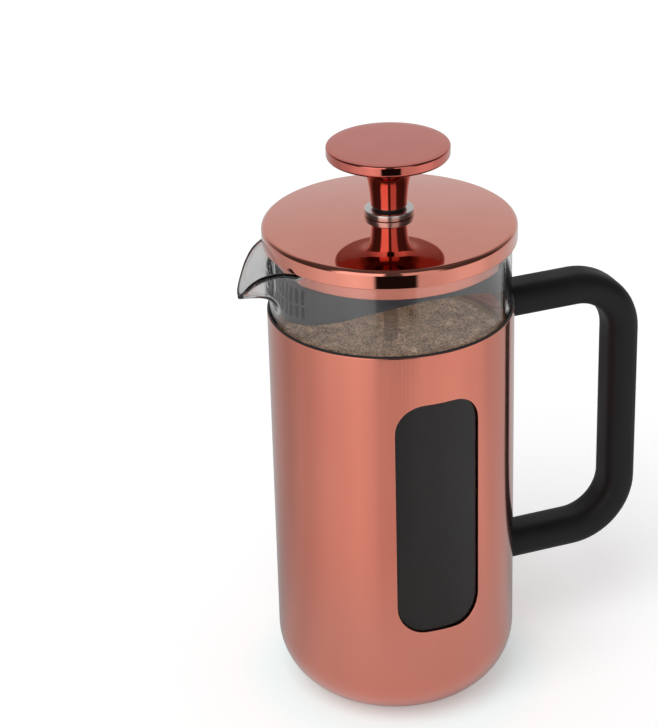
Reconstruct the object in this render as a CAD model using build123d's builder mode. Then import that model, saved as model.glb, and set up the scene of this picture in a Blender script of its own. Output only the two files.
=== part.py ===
from build123d import *
from math import radians, sin, tan
import os

# A one-litre french press.
# Origin: centre of the base, on the beaker's axis. +Z is up, +X points to the handle and -X
# to the spout. The two window cut-outs of the sleeve face -Y and +Y. Millimetres.
# The plunger is modelled pressed fully down, with the lid on.

# Sleeve: a drawn steel cup that carries the beaker
sleeve_radius = 49.25
sleeve_wall = 0.6
sleeve_height = 170.6
sleeve_corner = 26.0
window_width = 35.4
window_height = 102.7
window_low = 46.8
window_corner = 12.0

# Silicone parts between the sleeve and the beaker
cushion_margin = 4.25
cushion_bore = 7.0
cushion_height = 1.9
liner_wall = 0.22
liner_depth = 5.5
liner_head = 0.7
liner_clearance = 0.02
liner_inset = 0.05
cushion_rounding = 0.6

# Beaker: borosilicate glass
glass_gap = 1.05
glass_wall = 2.2
glass_base = 2.6
glass_seat_gap = 0.1
glass_above_sleeve = 32.4
spout_reach = 15.9
spout_wall = 1.9
spout_root_depth = 8.0
# Level sections of the spout, from its root to the rim:
# height below the rim, reach of the nose, half angle of the V, nose radius
spout_sections = (
    (29.0, -1.2, 45, 6.0),
    (19.5, 5.0, 42, 5.0),
    (17.8, spout_reach - 0.2, 32, 3.5),
    (13.0, spout_reach + 0.2, 38, 5.0),
    (0.0, spout_reach + 0.4, 45, 7.0),
)
spout_nose_ease = 0.4
# The drooping edge of the spout: drop of the tip below the rim, and a point half-way up it
lip_tip_drop = 15.6
lip_middle_reach = 5.2
lip_middle_drop = 8.2
lip_clearance = 0.5
lip_standoff = 1.0

# Lid
lid_overhang = 2.15
lid_sheet = 0.9
lid_edge_radius = 2.1
lid_crown_rise = 2.85
lip_below_rim = 3.1
cap_gap = 0.45
hole_clearance = 0.1
seat_ring_height = 1.9
seat_ring_overhang = 0.6
seat_ring_inset = 0.15
band_gap = 0.4
band_wall = 0.6
band_flange = 0.9
band_depth = 9.0
skirt_gap = 0.6
skirt_wall = 1.6
skirt_side_low = 10.7
skirt_drop = 17.3
neck_gap = 0.05
boss_gap = 0.25
slot_pitch = 4.75
slot_columns = 10
slot_width = 1.9
# Height of each row of slots above the skirt's lowest edge, and the slots' length
slot_rows = ((3.2, 5.2), (9.8, 7.2))
web_thickness = 1.6
collar_radius = 9.76
collar_height = 2.55
collar_chamfer = 0.4
collar_tube_radius = 5.0
tube_end = 0.4
nut_across_flats = 14.0
nut_height = 3.5
washer_radius = 9.0
washer_height = 1.0

# Plunger
rod_radius = 2.8
rod_clearance = 0.07
rod_chamfer = 0.4
rod_end_gap = 0.5
bush_radius = 4.0
bush_head = 0.8
knob_radius = 24.25
knob_edge = 5.0
knob_top_radius = 0.8
knob_under_radius = 1.4
knob_under_fillet = 1.2
knob_height = 25.6
stem_radius = 7.2
# How the stem flares on its way up to the disc: growth in radius, height above its foot
stem_flare = ((0.3, 3.0), (1.0, 9.3), (2.6, 14.0), (6.4, 17.9))
buffer_radius = 6.5
buffer_height = 0.8
insert_radius = 5.0
insert_height = 14.0
insert_gap = 0.2

# Filter stack at the foot of the rod
spring_coil_radius = 2.2
spring_gap = 0.2
spring_rest = 0.8
plate_thickness = 0.8
mesh_thickness = 0.4
cross_thickness = 1.1
plate_gap = 0.15
plate_edge_gap = 0.2
# Rings of holes in the spring plate: count, place as a share of its radius, first angle
spring_plate_holes = ((6, 0.42, 0), (12, 0.76, 15))
spring_plate_hole_share = 0.13
cross_hole_count = 4
cross_hole_place = 0.57
cross_hole_share = 0.3
cross_hole_start = 45
flange_radius = 8.0
flange_height = 3.0
flange_foot_height = 1.0
flange_step = 3.0
hub_radius = 7.0
hub_height = 8.0
hub_floor = 1.0
hub_chamfer = 1.0

# Handle: a squared loop of rounded section, held on two welded brackets by screws
handle_thickness = 13.4
handle_width = 18.0
handle_rounding = 6.0
handle_bend = 22.0
grip_distance = 102.1
upper_arm_height = 163.85
lower_arm_height = 50.9
bracket_length = 13.0
bracket_width = 11.0
bracket_height = 8.0
bracket_rounding = 1.5
bracket_root = 2.0
bracket_roof = 1.0
arm_overlap = 6.0
arm_gap = 0.05
socket_clearance = 0.15
screw_radius = 1.5
screw_head_radius = 2.75
screw_head_height = 1.6
screw_offset = 7.0
screw_recess = 2.0
screw_length = 6.5
screw_hex_radius = 1.5
screw_hex_depth = 0.9

# General clearance between parts that lift off each other, and how far cuts run past a face
lift_gap = 0.1
cut_past = 1.0

# Heights and radii that follow from the sizes above
sleeve_bore = sleeve_radius - sleeve_wall
cushion_radius = sleeve_radius - sleeve_corner - cushion_margin
glass_radius = sleeve_radius - glass_gap
glass_bore = glass_radius - glass_wall
glass_low = sleeve_wall + cushion_height + glass_seat_gap
glass_floor = glass_low + glass_base
glass_corner = sleeve_corner - glass_gap
glass_top = sleeve_height + glass_above_sleeve
spout_tip = glass_radius + spout_reach
lip_low = glass_top - lip_below_rim
ring_low = glass_top + lift_gap
flange_low = ring_low + seat_ring_height + lift_gap
lid_radius = glass_radius + lid_overhang
lid_edge_top = flange_low + band_flange + lid_sheet + cap_gap
lid_crown = lid_edge_top + lid_crown_rise
band_radius = glass_bore - band_gap
band_bore = band_radius - band_wall
skirt_radius = glass_bore - skirt_gap
skirt_neck_radius = band_bore - neck_gap
web_low = flange_low - web_thickness
collar_top = lid_crown + collar_height
collar_low = web_low - washer_height - nut_height - tube_end
knob_low = collar_top + lift_gap + buffer_height
knob_top = knob_low + knob_height
spring_radius = glass_bore - spring_gap - spring_coil_radius
spring_height = glass_floor + glass_corner - glass_wall + spring_coil_radius + spring_rest
plate_radius = spring_radius - spring_coil_radius - plate_edge_gap
mesh_low = spring_height
plate_low = mesh_low + mesh_thickness
cross_low = mesh_low - cross_thickness
hub_low = cross_low - hub_height
rod_low = hub_low + hub_floor
tube_hole_radius = collar_tube_radius + hole_clearance
neck_low = glass_top - band_depth - lift_gap
skirt_low = glass_top - skirt_side_low - skirt_drop


def can_section(radius, low, high, corner):
    """Half section of a can with a rounded bottom edge, drawn out from the axis."""
    with BuildSketch() as section:
        with BuildLine():
            Line((0, low), (radius - corner, low))
            CenterArc((radius - corner, low + corner), corner, -90, 90)
            Line((radius, low + corner), (radius, high))
            Polyline((radius, high), (0, high), (0, low))
        make_face()
    return section.sketch


def ring_section(inner, outer, low, high):
    """Half section of a plain ring."""
    with Locations(((inner + outer) / 2, (low + high) / 2)):
        Rectangle(outer - inner, high - low)


def spout_section(nose, half_angle, nose_radius):
    """Level cut through the spout: a V that points to -X with a rounded nose."""
    apex = nose + nose_radius * (1 / sin(radians(half_angle)) - 1)
    root = glass_bore - spout_root_depth
    half_width = (apex - root) * tan(radians(half_angle))
    with BuildSketch() as outline:
        with BuildLine():
            Polyline((-root, half_width), (-apex, 0), (-root, -half_width), close=True)
        make_face()
        fillet(outline.vertices().sort_by(Axis.X)[0], nose_radius)
    return outline.sketch


# ---- Sleeve and what is fixed to it

with BuildPart() as sleeve:
    with BuildSketch(Plane.XZ):
        add(can_section(sleeve_radius, 0, sleeve_height, sleeve_corner))
    revolve(axis=Axis.Z)
    with BuildSketch(Plane.XZ):
        add(can_section(sleeve_bore, sleeve_wall, sleeve_height + cut_past,
                        sleeve_corner - sleeve_wall))
    revolve(axis=Axis.Z, mode=Mode.SUBTRACT)
    with BuildSketch(Plane.XZ):
        with Locations((0, window_low + window_height / 2)):
            RectangleRounded(window_width, window_height, window_corner)
    extrude(amount=sleeve_radius + cut_past, both=True, mode=Mode.SUBTRACT)

with BuildPart() as beaker_cushion:
    with BuildSketch(Plane.XZ):
        ring_section(cushion_bore, cushion_radius, sleeve_wall, sleeve_wall + cushion_height)
    revolve(axis=Axis.Z)
    fillet(beaker_cushion.edges().group_by(Axis.Z)[-1], cushion_rounding)

with BuildPart() as rim_liner:
    liner_outer = sleeve_bore - liner_clearance
    with BuildSketch(Plane.XZ):
        ring_section(liner_outer - liner_wall, liner_outer,
                     sleeve_height - liner_depth, sleeve_height)
        ring_section(liner_outer - liner_wall, sleeve_radius - liner_inset,
                     sleeve_height, sleeve_height + liner_head)
    revolve(axis=Axis.Z)

brackets = {}
for name, height in (("upper_bracket", upper_arm_height), ("lower_bracket", lower_arm_height)):
    with BuildPart() as bracket:
        with BuildSketch(Plane.YZ.offset(sleeve_radius - bracket_root)):
            with Locations((0, height)):
                RectangleRounded(bracket_width, bracket_height, bracket_rounding)
        extrude(amount=bracket_root + bracket_length)
        with BuildSketch(Plane.XY):
            Circle(sleeve_radius)
        extrude(amount=sleeve_height, mode=Mode.SUBTRACT)
        with BuildSketch(Plane.XY.offset(height - bracket_height / 2)):
            with Locations((sleeve_radius + screw_offset, 0)):
                Circle(screw_radius)
        extrude(amount=bracket_height - bracket_roof, mode=Mode.SUBTRACT)
    brackets[name] = bracket.part

with BuildPart() as handle:
    with BuildLine(Plane.XZ) as handle_path:
        arm_start = sleeve_radius - arm_overlap
        FilletPolyline((arm_start, upper_arm_height), (grip_distance, upper_arm_height),
                       (grip_distance, lower_arm_height), (arm_start, lower_arm_height),
                       radius=handle_bend)
    with BuildSketch(Plane.YZ.offset(arm_start)):
        with Locations((0, upper_arm_height)):
            RectangleRounded(handle_width, handle_thickness, handle_rounding)
    sweep(path=handle_path.wires()[0])
    with BuildSketch(Plane.XY):
        Circle(sleeve_radius + arm_gap)
    extrude(amount=sleeve_height + handle_thickness, mode=Mode.SUBTRACT)
    for height in (upper_arm_height, lower_arm_height):
        with BuildSketch(Plane.YZ.offset(sleeve_radius - bracket_root)):
            with Locations((0, height)):
                Rectangle(bracket_width + 2 * socket_clearance,
                          bracket_height + 2 * socket_clearance)
        extrude(amount=bracket_root + bracket_length + 2 * socket_clearance,
                mode=Mode.SUBTRACT)
        underside = height - handle_thickness / 2
        with BuildSketch(Plane.XY.offset(underside)):
            with Locations((sleeve_radius + screw_offset, 0)):
                Circle(screw_radius + socket_clearance)
        extrude(amount=handle_thickness / 2, mode=Mode.SUBTRACT)
        with BuildSketch(Plane.XY.offset(underside)):
            with Locations((sleeve_radius + screw_offset, 0)):
                Circle(screw_head_radius + socket_clearance)
        extrude(amount=screw_recess, mode=Mode.SUBTRACT)

with BuildPart() as handle_screws:
    for height in (upper_arm_height, lower_arm_height):
        head_top = height - handle_thickness / 2 + screw_recess
        with BuildSketch(Plane.XY.offset(head_top)):
            with Locations((sleeve_radius + screw_offset, 0)):
                Circle(screw_head_radius)
        extrude(amount=-screw_head_height)
        with BuildSketch(Plane.XY.offset(head_top)):
            with Locations((sleeve_radius + screw_offset, 0)):
                Circle(screw_radius)
        extrude(amount=screw_length)
        with BuildSketch(Plane.XY.offset(head_top - screw_head_height)):
            with Locations((sleeve_radius + screw_offset, 0)):
                RegularPolygon(screw_hex_radius, 6)
        extrude(amount=screw_hex_depth, mode=Mode.SUBTRACT)


# ---- Beaker with its drawn spout

with BuildPart() as beaker:
    with BuildSketch(Plane.XZ):
        add(can_section(glass_radius, glass_low, glass_top, glass_corner))
    revolve(axis=Axis.Z)
    for below_rim, reach, half_angle, nose_radius in spout_sections:
        with BuildSketch(Plane.XY.offset(glass_top - below_rim)):
            add(spout_section(glass_radius + reach, half_angle, nose_radius))
    loft(ruled=True)
    with BuildSketch(Plane.XZ):
        add(can_section(glass_bore, glass_floor, glass_top + cut_past,
                        glass_corner - glass_wall))
    revolve(axis=Axis.Z, mode=Mode.SUBTRACT)
    for below_rim, reach, half_angle, nose_radius in spout_sections:
        with BuildSketch(Plane.XY.offset(glass_top - below_rim + spout_wall)):
            add(spout_section(glass_radius + reach - spout_wall, half_angle,
                              nose_radius - spout_wall + spout_nose_ease))
    loft(ruled=True, mode=Mode.SUBTRACT)
    # the drooping lip, seen from the side
    lip_edge = glass_radius + lip_standoff
    lip_high = lip_low - lip_clearance
    tip_height = glass_top - lip_tip_drop
    beyond_tip = spout_tip + 5 * cut_past
    above_rim = glass_top + 5 * cut_past
    with BuildSketch(Plane.XZ):
        with BuildLine():
            ThreePointArc((-spout_tip, tip_height),
                          (-spout_tip + lip_middle_reach, glass_top - lip_middle_drop),
                          (-lip_edge, lip_high))
            Polyline((-lip_edge, lip_high), (-lip_edge, above_rim), (-beyond_tip, above_rim),
                     (-beyond_tip, tip_height), (-spout_tip, tip_height))
        make_face()
    extrude(amount=glass_radius, both=True, mode=Mode.SUBTRACT)
    with BuildSketch(Plane.XY.offset(lip_high)):
        Circle(beyond_tip)
        Circle(lip_edge, mode=Mode.SUBTRACT)
    extrude(amount=above_rim - lip_high, mode=Mode.SUBTRACT)


# ---- Lid

with BuildPart() as lid_seat_ring:
    with BuildSketch(Plane.XZ):
        ring_section(glass_bore - seat_ring_inset, glass_radius + seat_ring_overhang,
                     ring_low, ring_low + seat_ring_height)
    revolve(axis=Axis.Z)

with BuildPart() as lid_cap:
    edge_centre = (lid_radius - lid_edge_radius, lid_edge_top - lid_edge_radius)
    inner_radius = lid_radius - lid_sheet
    with BuildSketch(Plane.XZ):
        with BuildLine():
            dome_edge = edge_centre[0]
            ThreePointArc((0, lid_crown), (dome_edge / 2, lid_crown - lid_crown_rise / 4),
                          (dome_edge, lid_edge_top))
            CenterArc(edge_centre, lid_edge_radius, 0, 90)
            Polyline((lid_radius, edge_centre[1]), (lid_radius, lip_low),
                     (inner_radius, lip_low), (inner_radius, edge_centre[1]))
            CenterArc(edge_centre, lid_edge_radius - lid_sheet, 0, 90)
            ThreePointArc((dome_edge, lid_edge_top - lid_sheet),
                          (dome_edge / 2, lid_crown - lid_crown_rise / 4 - lid_sheet),
                          (0, lid_crown - lid_sheet))
            Line((0, lid_crown - lid_sheet), (0, lid_crown))
        make_face()
    revolve(axis=Axis.Z)
    with BuildSketch(Plane.XY.offset(lip_low)):
        Circle(tube_hole_radius)
    extrude(amount=lid_crown, mode=Mode.SUBTRACT)

with BuildPart() as lid_band:
    with BuildSketch(Plane.XZ):
        ring_section(band_bore, band_radius, glass_top - band_depth, flange_low + band_flange)
        ring_section(band_bore, glass_radius + seat_ring_overhang,
                     flange_low, flange_low + band_flange)
    revolve(axis=Axis.Z)

with BuildPart() as strainer_insert:
    with BuildSketch(Plane.XZ):
        ring_section(skirt_radius - skirt_wall, skirt_radius,
                     skirt_low, neck_low)
        ring_section(skirt_radius - skirt_wall, skirt_neck_radius,
                     neck_low - skirt_wall, flange_low)
        ring_section(tube_hole_radius, skirt_radius - skirt_wall, web_low, flange_low)
        ring_section(tube_hole_radius, washer_radius,
                     flange_low, lid_crown - lid_sheet - boss_gap)
    revolve(axis=Axis.Z)
    # the lower edge falls from the window sides to the spout and the handle
    with BuildSketch(Plane.XZ):
        skirt_side = skirt_low + skirt_drop
        below_skirt = skirt_low - cut_past
        with BuildLine():
            Bezier((-skirt_radius, skirt_low), (0, skirt_side + skirt_drop),
                   (skirt_radius, skirt_low))
            Polyline((skirt_radius, skirt_low), (skirt_radius, below_skirt),
                     (-skirt_radius, below_skirt), (-skirt_radius, skirt_low))
        make_face()
    extrude(amount=skirt_radius + cut_past, both=True, mode=Mode.SUBTRACT)
    # two rows of pouring slots towards the spout
    slot_span = slot_pitch * (slot_columns - 1)
    for slot_rise, slot_height in slot_rows:
        with BuildSketch(Plane.XY.offset(skirt_low + slot_rise)):
            with PolarLocations(skirt_radius - skirt_wall / 2, slot_columns,
                                start_angle=180 - slot_span / 2, angular_range=slot_span,
                                endpoint=True):
                Rectangle(2 * skirt_wall, slot_width)
        extrude(amount=slot_height, mode=Mode.SUBTRACT)

with BuildPart() as lid_collar:
    with BuildSketch(Plane.XZ):
        ring_section(bush_radius, collar_radius, lid_crown, collar_top)
        ring_section(bush_radius, collar_tube_radius, collar_low, lid_crown)
    revolve(axis=Axis.Z)
    chamfer(lid_collar.faces().sort_by(Axis.Z)[-1].outer_wire().edges(), collar_chamfer)

with BuildPart() as guide_bush:
    with BuildSketch(Plane.XZ):
        ring_section(rod_radius + rod_clearance, bush_radius, collar_low,
                     collar_top - lift_gap)
        ring_section(rod_radius + rod_clearance, collar_tube_radius,
                     collar_low - bush_head, collar_low)
    revolve(axis=Axis.Z)

with BuildPart() as lid_washer:
    with BuildSketch(Plane.XZ):
        ring_section(tube_hole_radius, washer_radius, web_low - washer_height, web_low)
    revolve(axis=Axis.Z)

with BuildPart() as lid_nut:
    with BuildSketch(Plane.XY.offset(web_low - washer_height)):
        RegularPolygon(nut_across_flats / 2, 6, major_radius=False)
        Circle(collar_tube_radius, mode=Mode.SUBTRACT)
    extrude(amount=-nut_height)


# ---- Knob and rod

with BuildPart() as knob:
    disc_low = knob_top - knob_edge
    with BuildSketch(Plane.XZ) as knob_section:
        with BuildLine():
            Polyline((0, knob_low), (stem_radius, knob_low))
            Spline((stem_radius, knob_low),
                   *((stem_radius + growth, knob_low + rise) for growth, rise in stem_flare),
                   (knob_radius - knob_under_radius, disc_low))
            Polyline((knob_radius - knob_under_radius, disc_low), (knob_radius, disc_low),
                     (knob_radius, knob_top), (0, knob_top), (0, knob_low))
        make_face()
        outer_corners = knob_section.vertices().group_by(Axis.X)[-1]
        fillet(outer_corners.sort_by(Axis.Y)[-1], knob_top_radius)
        outer_corners = knob_section.vertices().group_by(Axis.X)[-1]
        fillet(outer_corners.sort_by(Axis.Y)[0], knob_under_fillet)
    revolve(axis=Axis.Z)
    with BuildSketch(Plane.XY.offset(knob_low)):
        Circle(insert_radius)
    extrude(amount=insert_height + insert_gap, mode=Mode.SUBTRACT)

with BuildPart() as knob_insert:
    with BuildSketch(Plane.XZ):
        ring_section(rod_radius, insert_radius, knob_low, knob_low + insert_height)
    revolve(axis=Axis.Z)

with BuildPart() as knob_buffer:
    with BuildSketch(Plane.XZ):
        ring_section(rod_radius, buffer_radius, knob_low - buffer_height, knob_low)
    revolve(axis=Axis.Z)

with BuildPart() as plunger_rod:
    with BuildSketch(Plane.XY.offset(rod_low)):
        Circle(rod_radius)
    extrude(amount=knob_low + insert_height - rod_end_gap - rod_low)
    chamfer(plunger_rod.edges().filter_by(GeomType.CIRCLE), rod_chamfer)


# ---- Filter stack: plates and mesh clamped between the rod's flange and the hub

with BuildPart() as rod_flange:
    flange_foot = plate_low + plate_thickness
    with BuildSketch(Plane.XZ):
        ring_section(rod_radius, flange_radius, flange_foot, flange_foot + flange_foot_height)
        ring_section(rod_radius, flange_radius - flange_step,
                     flange_foot + flange_foot_height, flange_foot + flange_height)
    revolve(axis=Axis.Z)

with BuildPart() as spring_plate:
    with BuildSketch(Plane.XY.offset(plate_low)):
        Circle(plate_radius)
        Circle(rod_radius + plate_gap, mode=Mode.SUBTRACT)
        for count, place, first_angle in spring_plate_holes:
            with PolarLocations(plate_radius * place, count, start_angle=first_angle):
                Circle(plate_radius * spring_plate_hole_share, mode=Mode.SUBTRACT)
    extrude(amount=plate_thickness)

with BuildPart() as edge_spring:
    with Locations((0, 0, spring_height)):
        Torus(spring_radius, spring_coil_radius)

with BuildPart() as mesh_disc:
    with BuildSketch(Plane.XY.offset(mesh_low)):
        Circle(plate_radius)
        Circle(rod_radius + plate_gap, mode=Mode.SUBTRACT)
    extrude(amount=mesh_thickness)

with BuildPart() as cross_plate:
    with BuildSketch(Plane.XY.offset(cross_low)):
        Circle(plate_radius)
        Circle(rod_radius + plate_gap, mode=Mode.SUBTRACT)
        with PolarLocations(plate_radius * cross_hole_place, cross_hole_count,
                            start_angle=cross_hole_start):
            Circle(plate_radius * cross_hole_share, mode=Mode.SUBTRACT)
    extrude(amount=cross_thickness)

with BuildPart() as filter_hub:
    with BuildSketch(Plane.XY.offset(hub_low)):
        Circle(hub_radius)
    extrude(amount=hub_height)
    with BuildSketch(Plane.XY.offset(rod_low)):
        Circle(rod_radius)
    extrude(amount=hub_height, mode=Mode.SUBTRACT)
    chamfer(filter_hub.faces().sort_by(Axis.Z)[0].edges(), hub_chamfer)


# ---- One STEP file for each piece

pieces = {
    "sleeve": sleeve.part,
    "beaker_cushion": beaker_cushion.part,
    "rim_liner": rim_liner.part,
    "upper_bracket": brackets["upper_bracket"],
    "lower_bracket": brackets["lower_bracket"],
    "handle": handle.part,
    "handle_screws": handle_screws.part,
    "beaker": beaker.part,
    "lid_seat_ring": lid_seat_ring.part,
    "lid_cap": lid_cap.part,
    "lid_band": lid_band.part,
    "strainer_insert": strainer_insert.part,
    "lid_collar": lid_collar.part,
    "guide_bush": guide_bush.part,
    "lid_washer": lid_washer.part,
    "lid_nut": lid_nut.part,
    "knob": knob.part,
    "knob_insert": knob_insert.part,
    "knob_buffer": knob_buffer.part,
    "plunger_rod": plunger_rod.part,
    "rod_flange": rod_flange.part,
    "spring_plate": spring_plate.part,
    "edge_spring": edge_spring.part,
    "mesh_disc": mesh_disc.part,
    "cross_plate": cross_plate.part,
    "filter_hub": filter_hub.part,
}

os.makedirs("parts", exist_ok=True)
for name, piece in pieces.items():
    piece.label = name
    export_step(piece, f"parts/{name}.step")
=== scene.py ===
import math

import bmesh
import bpy
import numpy as np
from mathutils import Matrix, Vector


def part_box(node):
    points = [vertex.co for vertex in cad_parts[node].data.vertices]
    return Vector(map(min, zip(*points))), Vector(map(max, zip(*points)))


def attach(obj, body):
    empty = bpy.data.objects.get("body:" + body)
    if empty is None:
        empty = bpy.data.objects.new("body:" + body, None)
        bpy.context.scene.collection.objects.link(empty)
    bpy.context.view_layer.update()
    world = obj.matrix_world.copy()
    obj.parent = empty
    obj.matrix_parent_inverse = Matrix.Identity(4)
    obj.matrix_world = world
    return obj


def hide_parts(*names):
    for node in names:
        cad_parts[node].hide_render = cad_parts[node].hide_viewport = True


mm = 0.001

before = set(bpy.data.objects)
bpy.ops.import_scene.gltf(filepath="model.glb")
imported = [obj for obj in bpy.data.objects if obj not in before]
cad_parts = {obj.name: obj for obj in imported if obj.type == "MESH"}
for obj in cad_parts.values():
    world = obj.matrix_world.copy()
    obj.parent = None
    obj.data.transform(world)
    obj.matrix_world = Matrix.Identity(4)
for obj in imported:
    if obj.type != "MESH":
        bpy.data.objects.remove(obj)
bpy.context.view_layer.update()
print("frame loaded:", len(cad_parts), "nodes")


# ---- camera, light and floor

cameraSet = {
    "place": (-339.5, -840.4, 594.2),  # mm
    "turn": -20.404,
    "tilt": 63.625,
    "roll": -1.654,
    "lens": 124.15,
}


def addCamera(settings):
    data = bpy.data.cameras.new("camera")
    data.lens = settings["lens"]
    data.clip_start = 0.05
    camera = bpy.data.objects.new("camera", data)
    bpy.context.scene.collection.objects.link(camera)
    turn = Matrix.Rotation(math.radians(settings["turn"]), 4, "Z")
    tilt = Matrix.Rotation(math.radians(settings["tilt"]), 4, "X")
    roll = Matrix.Rotation(math.radians(settings["roll"]), 4, "Z")
    place = Matrix.Translation(Vector(settings["place"]) * mm)
    camera.matrix_world = place @ turn @ tilt @ roll
    bpy.context.scene.camera = camera


studioSet = {
    "cameraSide": -112.0,  # degrees from +X to the camera's side of the room
    # brightness of the room round the press, as degrees to the right of the camera
    "room": [(-180, 0.82), (-142, 0.80), (-124, 0.30), (-100, 0.08), (-56, 0.10), (-44, 1.75),
             (-8, 1.75), (-3, 0.12), (9, 0.12), (13, 0.95), (40, 0.95), (52, 0.10), (100, 0.08),
             (124, 0.30), (142, 0.80), (180, 0.82)],
    "roomTop": 2.0,  # no level above is higher
    "ceiling": 0.13,
    "ceilingFrom": (0.70, 0.84),  # upward part of the direction
    "even": 0.6,  # brightness of the room for dull surfaces
    # painted light and shade on the paper floor, seen only in reflections, near the press and further
    # off
    "paintedLightNear": [(-180, 0.62), (-125, 0.43), (-90, 0.57), (-50, 0.73), (-20, 0.78), (0, 0.76),
                  (60, 0.73), (98, 0.66), (126, 0.60), (180, 0.62)],
    "paintedLightFar": [(-180, 0.55), (-125, 0.50), (-108, 0.47), (-85, 0.62), (-49, 0.88), (-30, 0.96),
                 (-19, 0.90), (-10, 0.73), (8, 0.72), (28, 0.86), (55, 0.92), (80, 0.84), (98, 0.66),
                 (126, 0.60), (180, 0.55)],
    "paintedLightFrom": (0.08, 0.24),  # metres from the axis
    # painted light further off, as a share of the paper's painted level, with a painted dark gap on the
    # camera's side
    "paintedLightBeyond": [(-180, 1.2), (-50, 1.2), (-28, 1.35), (-15, 1.3), (-11, 0.015), (21, 0.015),
               (25, 0.92), (42, 0.95), (75, 1.2), (180, 1.2)],
    "beyondTop": 2.0,
    "beyondFrom": (0.41, 0.46),
    "floorReach": 4.0,
    "floorHeight": -0.0002,
    "floorColour": (0.93, 0.93, 0.93, 1),
    # cooler paper beside the foot, where the copper would otherwise redden it
    "besideFoot": (0.79, 0.93, 0.93, 1),
    "besideFootTo": (0.050, 0.070),
    "floorGlow": 0.30,
    "reflectedGlow": 0.07,
    "sunFrom": (-0.62, -0.55, 1.15),
    "sunSpread": 42.0,  # degrees
    "sunPower": 1.2,
}


def mathNode(nodes, links, operation, *values):
    node = nodes.new("ShaderNodeMath")
    node.operation = operation
    for socket, value in zip(node.inputs, values):
        if isinstance(value, bpy.types.NodeSocket):
            links.new(value, socket)
        else:
            socket.default_value = value
    return node.outputs[0]


def smoothStep(nodes, links, value, low, high):
    node = nodes.new("ShaderNodeMapRange")
    node.interpolation_type = "SMOOTHSTEP"
    links.new(value, node.inputs["Value"])
    node.inputs["From Min"].default_value = low
    node.inputs["From Max"].default_value = high
    return node.outputs["Result"]


def mixColours(nodes, links, factor, first, second):
    node = nodes.new("ShaderNodeMix")
    node.data_type = "RGBA"
    links.new(factor, node.inputs["Factor"])
    for socket, colour in ((node.inputs["A"], first), (node.inputs["B"], second)):
        if isinstance(colour, bpy.types.NodeSocket):
            links.new(colour, socket)
        else:
            socket.default_value = colour
    return node.outputs["Result"]


def mixShaders(nodes, links, factor, first, second):
    node = nodes.new("ShaderNodeMixShader")
    for socket, value in zip(node.inputs, (factor, first, second)):
        links.new(value, socket)
    return node.outputs[0]


def fromAxis(nodes, links, parts):
    # distance from the upright axis
    squares = [mathNode(nodes, links, "MULTIPLY", part, part) for part in (parts["X"], parts["Y"])]
    return mathNode(nodes, links, "SQRT", mathNode(nodes, links, "ADD", *squares))


def roundTheRoom(nodes, links, direction, cameraSide):
    # share of a turn, 0.5 on the camera's side and more to its right, and the direction's parts
    turned = nodes.new("ShaderNodeMapping")
    turned.inputs["Rotation"].default_value = (0, 0, math.radians(-cameraSide))
    links.new(direction, turned.inputs["Vector"])
    split = nodes.new("ShaderNodeSeparateXYZ")
    links.new(turned.outputs["Vector"], split.inputs[0])
    angle = mathNode(nodes, links, "ARCTAN2", split.outputs["Y"], split.outputs["X"])
    return mathNode(nodes, links, "MULTIPLY_ADD", angle, 0.5 / math.pi, 0.5), split.outputs


def levelRamp(nodes, links, share, stops, top):
    ramp = nodes.new("ShaderNodeValToRGB")
    ramp.color_ramp.interpolation = "EASE"
    elements = ramp.color_ramp.elements
    while len(elements) < len(stops):
        elements.new(0.5)
    for element, (degrees, level) in zip(elements, stops):
        element.position = degrees / 360 + 0.5
        element.color = (level / top, level / top, level / top, 1)
    links.new(share, ramp.inputs["Fac"])
    return mathNode(nodes, links, "MULTIPLY", ramp.outputs["Color"], top)


def addRoom(s):
    world = bpy.data.worlds.new("room")
    bpy.context.scene.world = world
    world.use_nodes = True
    nodes, links = world.node_tree.nodes, world.node_tree.links
    nodes.clear()
    coords = nodes.new("ShaderNodeTexCoord")
    share, parts = roundTheRoom(nodes, links, coords.outputs["Generated"], s["cameraSide"])
    level = levelRamp(nodes, links, share, s["room"], s["roomTop"])
    overhead = smoothStep(nodes, links, parts["Z"], *s["ceilingFrom"])
    drop = mathNode(nodes, links, "SUBTRACT", s["ceiling"], level)
    level = mathNode(nodes, links, "MULTIPLY_ADD", drop, overhead, level)
    lit = nodes.new("ShaderNodeBackground")
    links.new(level, lit.inputs["Strength"])
    plain = nodes.new("ShaderNodeBackground")
    plain.inputs["Color"].default_value = (1, 1, 1, 1)
    even = nodes.new("ShaderNodeBackground")
    even.inputs["Strength"].default_value = s["even"]
    rays = nodes.new("ShaderNodeLightPath").outputs
    unseen = mixShaders(nodes, links, rays["Is Diffuse Ray"], lit.outputs[0], even.outputs[0])
    whole = mixShaders(nodes, links, rays["Is Camera Ray"], unseen, plain.outputs[0])
    output = nodes.new("ShaderNodeOutputWorld")
    links.new(whole, output.inputs["Surface"])


def addKeyLight(s):
    # one wide soft source, high on the left, for the shadows
    key = bpy.data.lights.new("key", "SUN")
    key.angle = math.radians(s["sunSpread"])
    key.energy = s["sunPower"]
    lamp = bpy.data.objects.new("key", key)
    bpy.context.scene.collection.objects.link(lamp)
    aim = (-Vector(s["sunFrom"])).to_track_quat("-Z", "Y")
    lamp.matrix_world = aim.to_matrix().to_4x4()
    lamp.visible_glossy = False


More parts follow.
